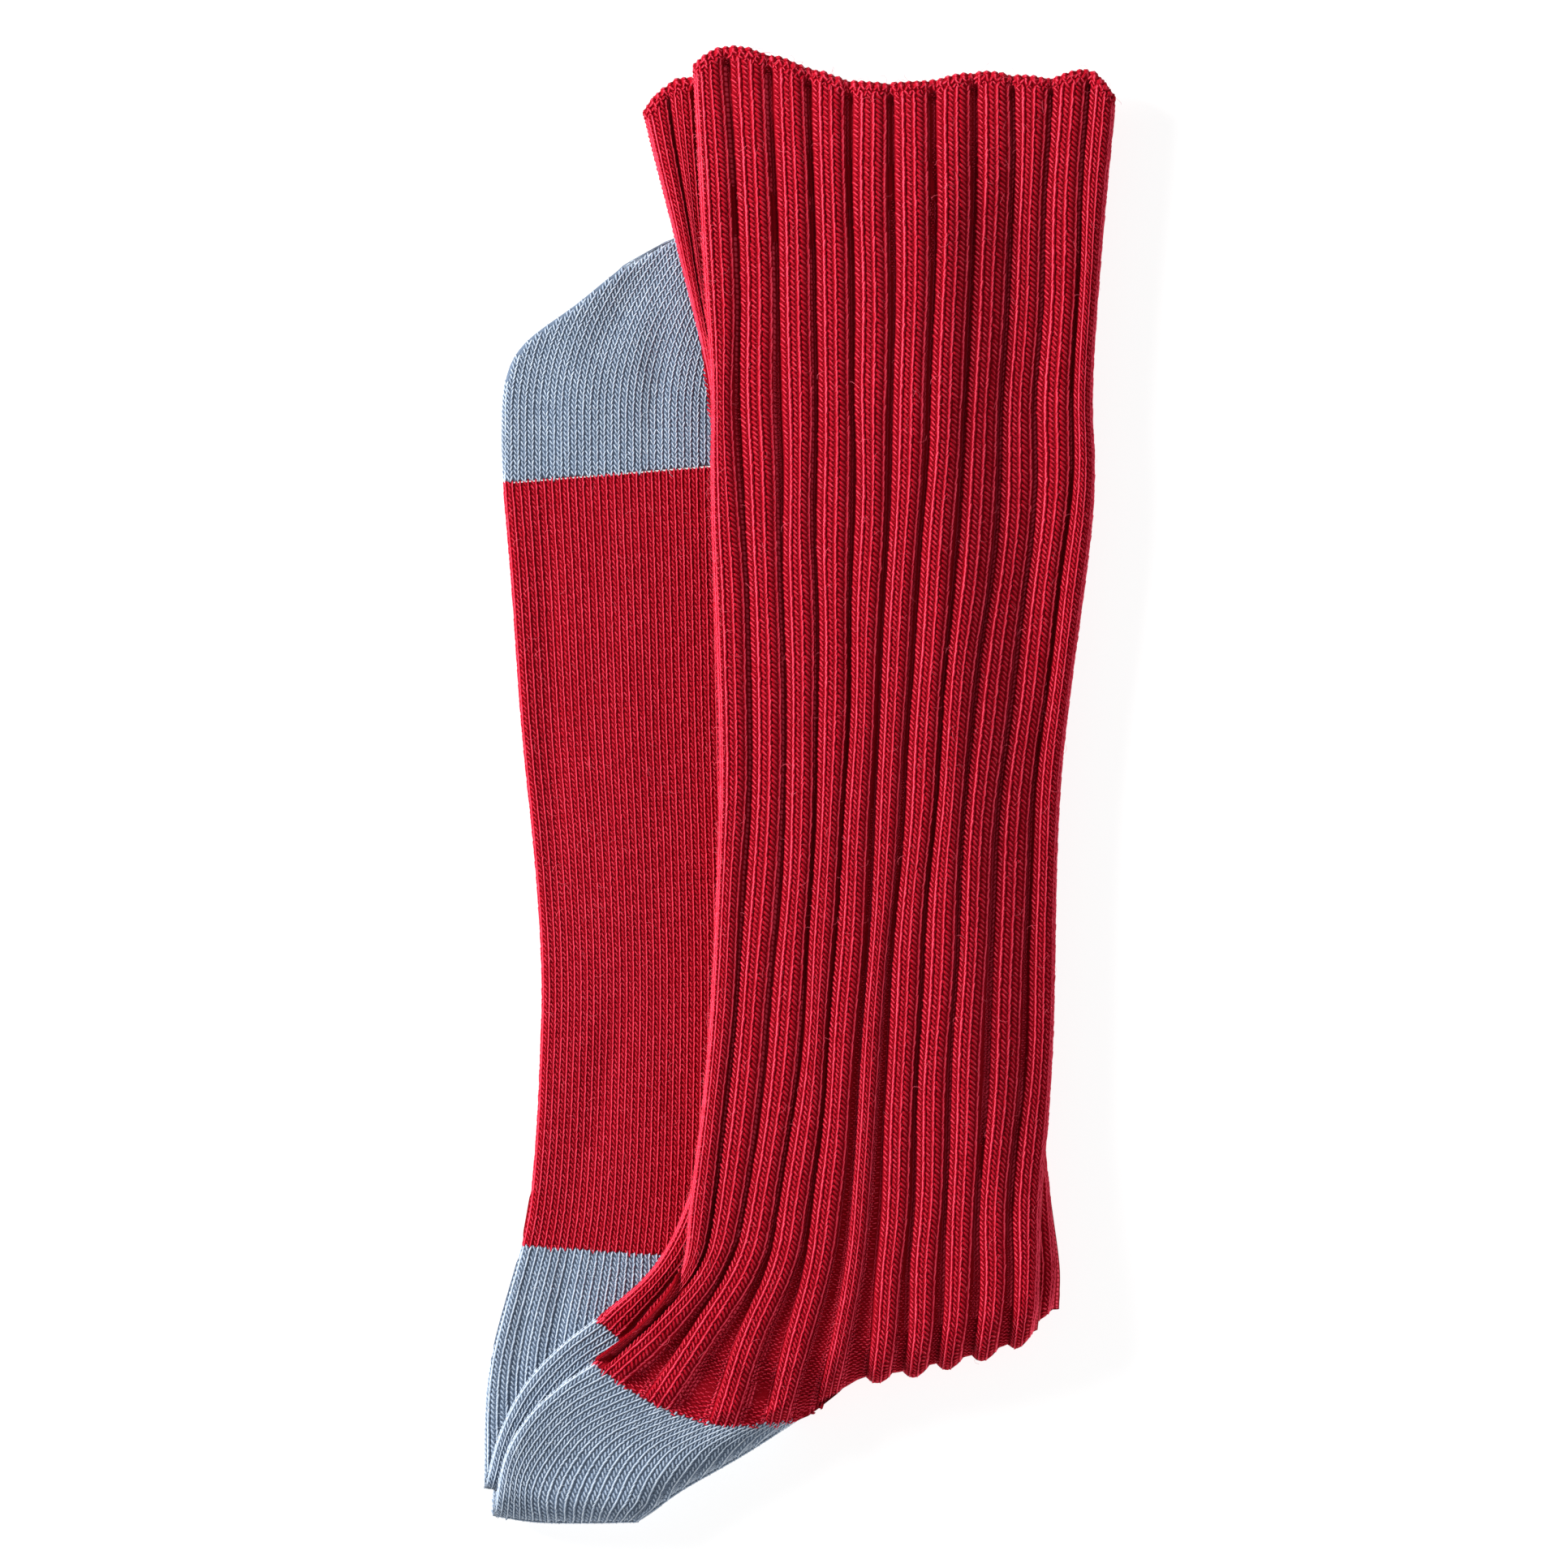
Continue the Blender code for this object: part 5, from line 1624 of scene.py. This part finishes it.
# ---------------------------------------------------------------- the add-on
class SockKnitting(bpy.types.PropertyGroup):
    """Sizes and colours of the socks."""

    red: bpy.props.FloatVectorProperty(
        name="Red", description="Body colour of the red yarn", subtype="COLOR", size=3, min=0, max=1,
        default=(0.415, 0.0022, 0.0140),
    )
    # painted highlight colour along the red yarn's crest
    red_crest: bpy.props.FloatVectorProperty(
        name="Red crest", description="Colour along the crest of the red yarn", subtype="COLOR", size=3,
        min=0, max=1, default=(1.0, 0.078, 0.145),
    )
    grey: bpy.props.FloatVectorProperty(
        name="Grey", description="Body colour of the grey yarn", subtype="COLOR", size=3, min=0, max=1,
        default=(0.275, 0.35, 0.46),
    )
    # painted highlight colour along the grey yarn's crest
    grey_crest: bpy.props.FloatVectorProperty(
        name="Grey crest", description="Colour along the crest of the grey yarn", subtype="COLOR", size=3,
        min=0, max=1, default=(0.78, 0.86, 0.95),
    )
    sheen: bpy.props.FloatProperty(
        name="Sheen", description="Soft sheen of the cotton", default=0.05, min=0, max=1, subtype="FACTOR"
    )
    key: bpy.props.FloatProperty(
        name="Key light", description="Power of the key light", default=25.0, min=0, unit="POWER"
    )


class SOCKS_OT_legs(bpy.types.Operator):
    """Knit both legs: their tubes, and the stitches of the ribs that show"""

    bl_idname = "socks.legs"
    bl_label = "Legs"

    def execute(self, context):
        outer, inner = SOCKS["outer"], SOCKS["inner"]
        above = [outer.leg_outline, outer.pouch]
        leg_piece(outer, range(LEG_RIBS))
        leg_piece(inner, INNER_RIBS)
        for number, ribs in enumerate(LEG_GROUPS, 1):
            stitches(f"outer_leg_stitches_{number}", leg_wales(outer, ribs), "red")
        stitches("outer_leg_edges", both_edges(outer), "red")
        stitches("inner_leg_edges", shown(both_edges(inner), above), "red")
        purl = purl_wales(outer, np.arange(LEG_RIBS - 1))
        stitches("outer_leg_purl", purl, "red", "purl", sink=PURL_SINK)
        stitches("inner_leg_stitches", shown(leg_wales(inner, INNER_RIBS), above), "red")
        for sock in (inner, outer):
            rims = np.concatenate([cuff_loops(sock, *rim) for rim in CUFF_RIMS])
            stitches(sock.name + "_cuff_edge", rims, "red", "bead", BEAD_HEIGHT, LOOP_SINK, UNEVEN)
            rows = np.concatenate([cuff_loops(sock, from_edge) for from_edge in CUFF_ROWS])
            stitches(sock.name + "_cuff_loops", rows, "red", "loop", COURSE, LOOP_SINK, UNEVEN)
        nap("outer_leg_fuzz", leg_wales(outer, range(LEG_RIBS)), "red", count=900, seed=31)
        nap("outer_cuff_fuzz", rims, "red", count=260, seed=32)
        nap("outer_flank_fuzz", edge_wales(outer, 0, FLANK_PLACES), "red", count=800, seed=33)
        return {"FINISHED"}


class SOCKS_OT_heels(bpy.types.Operator):
    """Knit the heel pouches, above and under the fold"""

    bl_idname = "socks.heels"
    bl_label = "Heels"

    def execute(self, context):
        outer, inner = SOCKS["outer"], SOCKS["inner"]
        above = [outer.leg_outline, outer.pouch]
        heel_pieces(outer)
        heel_pieces(inner)
        uppers = []
        for sock, covers in ((outer, []), (inner, above)):
            upper = pouch_wales(sock, sock.heel_rows, upper_heel_cloth, HEEL_WALES, HEEL_SPREAD, HEEL_CLEAR)
            uppers.append(off_tips(shown(upper, covers), sock))
            stitches(sock.name + "_heel_stitches", uppers[-1], "grey")
        edge = pouch_wales(outer, outer.under_rows, lower_cloth, UNDER_WALES, shown_wales=2)
        nose = nose_wales(outer, partial(table_plan, outer.under_rows), UNDER_WALES)
        lower = np.concatenate([edge, nose, fold_wales(outer.pouch_fold)])
        stitches("outer_heel_lower_stitches", lower, "grey")
        lower = pouch_wales(inner, inner.under_rows, lower_cloth, UNDER_WALES)
        lower = off_tips(shown(lower, above + [inner.leg_outline, inner.pouch]), inner)
        stitches("inner_heel_lower_stitches", lower, "grey")
        nap("heel_fuzz", np.concatenate([uppers[0], lower]), "grey", count=260, seed=34)
        return {"FINISHED"}


class SOCKS_OT_feet(bpy.types.Operator):
    """Knit the feet and toes"""

    bl_idname = "socks.feet"
    bl_label = "Feet and toes"

    def execute(self, context):
        outer, inner = SOCKS["outer"], SOCKS["inner"]
        above = [outer.leg_outline, inner.leg_outline]
        flat_pieces(outer)
        flat_pieces(inner)
        edge = lower_wales(outer, foot_wale_lines, count=1)
        nose = nose_wales(outer, partial(foot_plan, outer), NOSE_WALES)
        seam = fold_wales(outer.foot_end[-1], FOLD_LEFT_OUT)
        stitches("outer_foot_stitches", np.concatenate([edge, nose, seam]), "red")
        foot = shown(lower_wales(inner, foot_wale_lines), above)
        stitches("inner_foot_stitches", foot, "red")
        toe = shown(within_toe(lower_wales(inner, toe_wale_lines), TOE_END_CLEAR), above)
        rim = rim_wales(inner, RIM_STITCHED)
        rim = shown(rim[rim[:, STITCH["out"]][:, 2] < 0], above)
        stitches("inner_toe_stitches", np.concatenate([toe, rim]), "grey", "toe")
        edge = within_toe(lower_wales(outer, toe_wale_lines, count=1), RIM_CLEAR)
        rim = rim_wales(outer, RIM_STITCHED + OUTER_SOLE_INSET)
        stitches("outer_toe_stitches", shown(np.concatenate([edge, rim]), above), "grey")
        nap("foot_fuzz", foot, "red", count=330, seed=35)
        nap("toe_fuzz", toe, "grey", count=110, seed=36)
        return {"FINISHED"}


FLOOR_HALF = 3.0  # half of the floor's side, in metres
FLOOR_WHITE = (0.3, 0.3, 0.3)
FLOOR_GLOW = (0.8, 0.8, 0.8)
FLOOR_GLOW_STRENGTH = 1.05
EYE = (-2.945 * MM, 0.23 * MM, 0.6)
EYE_SPAN = 299.46 * MM  # what the camera sees from side to side
LAMPS = (
    # name, place in metres, side, share of the key light's power
    ("key", (-0.95, 0.45, 0.56), 0.5, 1.0),
    ("fill", (0.7, -0.75, 0.7), 1.2, 0.22),
)
SKY_LIGHT = 0.27  # the world's light on the socks, as a share of its brightness to the camera


class SOCKS_OT_stage(bpy.types.Operator):
    """Set the pale floor, the soft light and the camera straight above"""

    bl_idname = "socks.stage"
    bl_label = "Stage"

    def execute(self, context):
        mesh = bpy.data.meshes.new("floor")
        corners = [(x * FLOOR_HALF, y * FLOOR_HALF, 0) for x, y in ((-1, -1), (1, -1), (1, 1), (-1, 1))]
        mesh.from_pydata(corners, [], [(0, 1, 2, 3)])
        material, graph = new_material("white_floor")
        glow = {"Emission Color": opaque(FLOOR_GLOW), "Emission Strength": FLOOR_GLOW_STRENGTH}
        surface(graph, {"Base Color": opaque(FLOOR_WHITE), **glow})
        mesh.materials.append(material)
        floor = linked("floor", mesh)
        camera = bpy.data.cameras.new("camera")
        camera.type = "ORTHO"
        camera.ortho_scale = EYE_SPAN
        eye = linked("camera", camera)
        eye.location = EYE
        context.scene.camera = eye
        for name, place, side, share in LAMPS:
            lamp = bpy.data.lights.new(name, "AREA")
            lamp.size = side
            lamp.energy = settings().key * share
            light = linked(name, lamp)
            light.location = place
            light.rotation_mode = "QUATERNION"
            light.rotation_quaternion = (-Vector(place)).to_track_quat("-Z", "Y")
        world = bpy.data.worlds.new("studio")
        world.use_nodes = True
        world.node_tree.nodes.clear()
        graph = Graph(world.node_tree)
        seen = graph.add("ShaderNodeLightPath", output="Is Camera Ray")
        strength = SKY_LIGHT + (1 - SKY_LIGHT) * seen
        sky = graph.add("ShaderNodeBackground", sockets={"Color": (1, 1, 1, 1), "Strength": strength})
        graph.add("ShaderNodeOutputWorld", sockets={"Surface": sky})
        context.scene.world = world
        context.scene.view_settings.view_transform = "Standard"
        return {"FINISHED"}


class SOCKS_PT_panel(bpy.types.Panel):
    """Sizes and colours of the socks, and the steps that make them"""

    bl_label = "Rib socks"
    bl_idname = "SOCKS_PT_panel"
    bl_space_type = "VIEW_3D"
    bl_region_type = "UI"
    bl_category = "Socks"

    def draw(self, context):
        look = context.scene.sock_knitting
        for name in ("red", "red_crest", "grey", "grey_crest", "sheen", "key"):
            self.layout.prop(look, name)
        for step in STEPS:
            self.layout.operator(step.bl_idname)


STEPS = (SOCKS_OT_legs, SOCKS_OT_heels, SOCKS_OT_feet, SOCKS_OT_stage)
CLASSES = (SockKnitting, *STEPS, SOCKS_PT_panel)


def register():
    for item in CLASSES:
        bpy.utils.register_class(item)
    bpy.types.Scene.sock_knitting = bpy.props.PointerProperty(type=SockKnitting)


def unregister():
    del bpy.types.Scene.sock_knitting
    for item in reversed(CLASSES):
        bpy.utils.unregister_class(item)


def main():
    register()
    bpy.ops.socks.legs()
    bpy.ops.socks.heels()
    bpy.ops.socks.feet()
    bpy.ops.socks.stage()


if __name__ == "__main__":
    main()
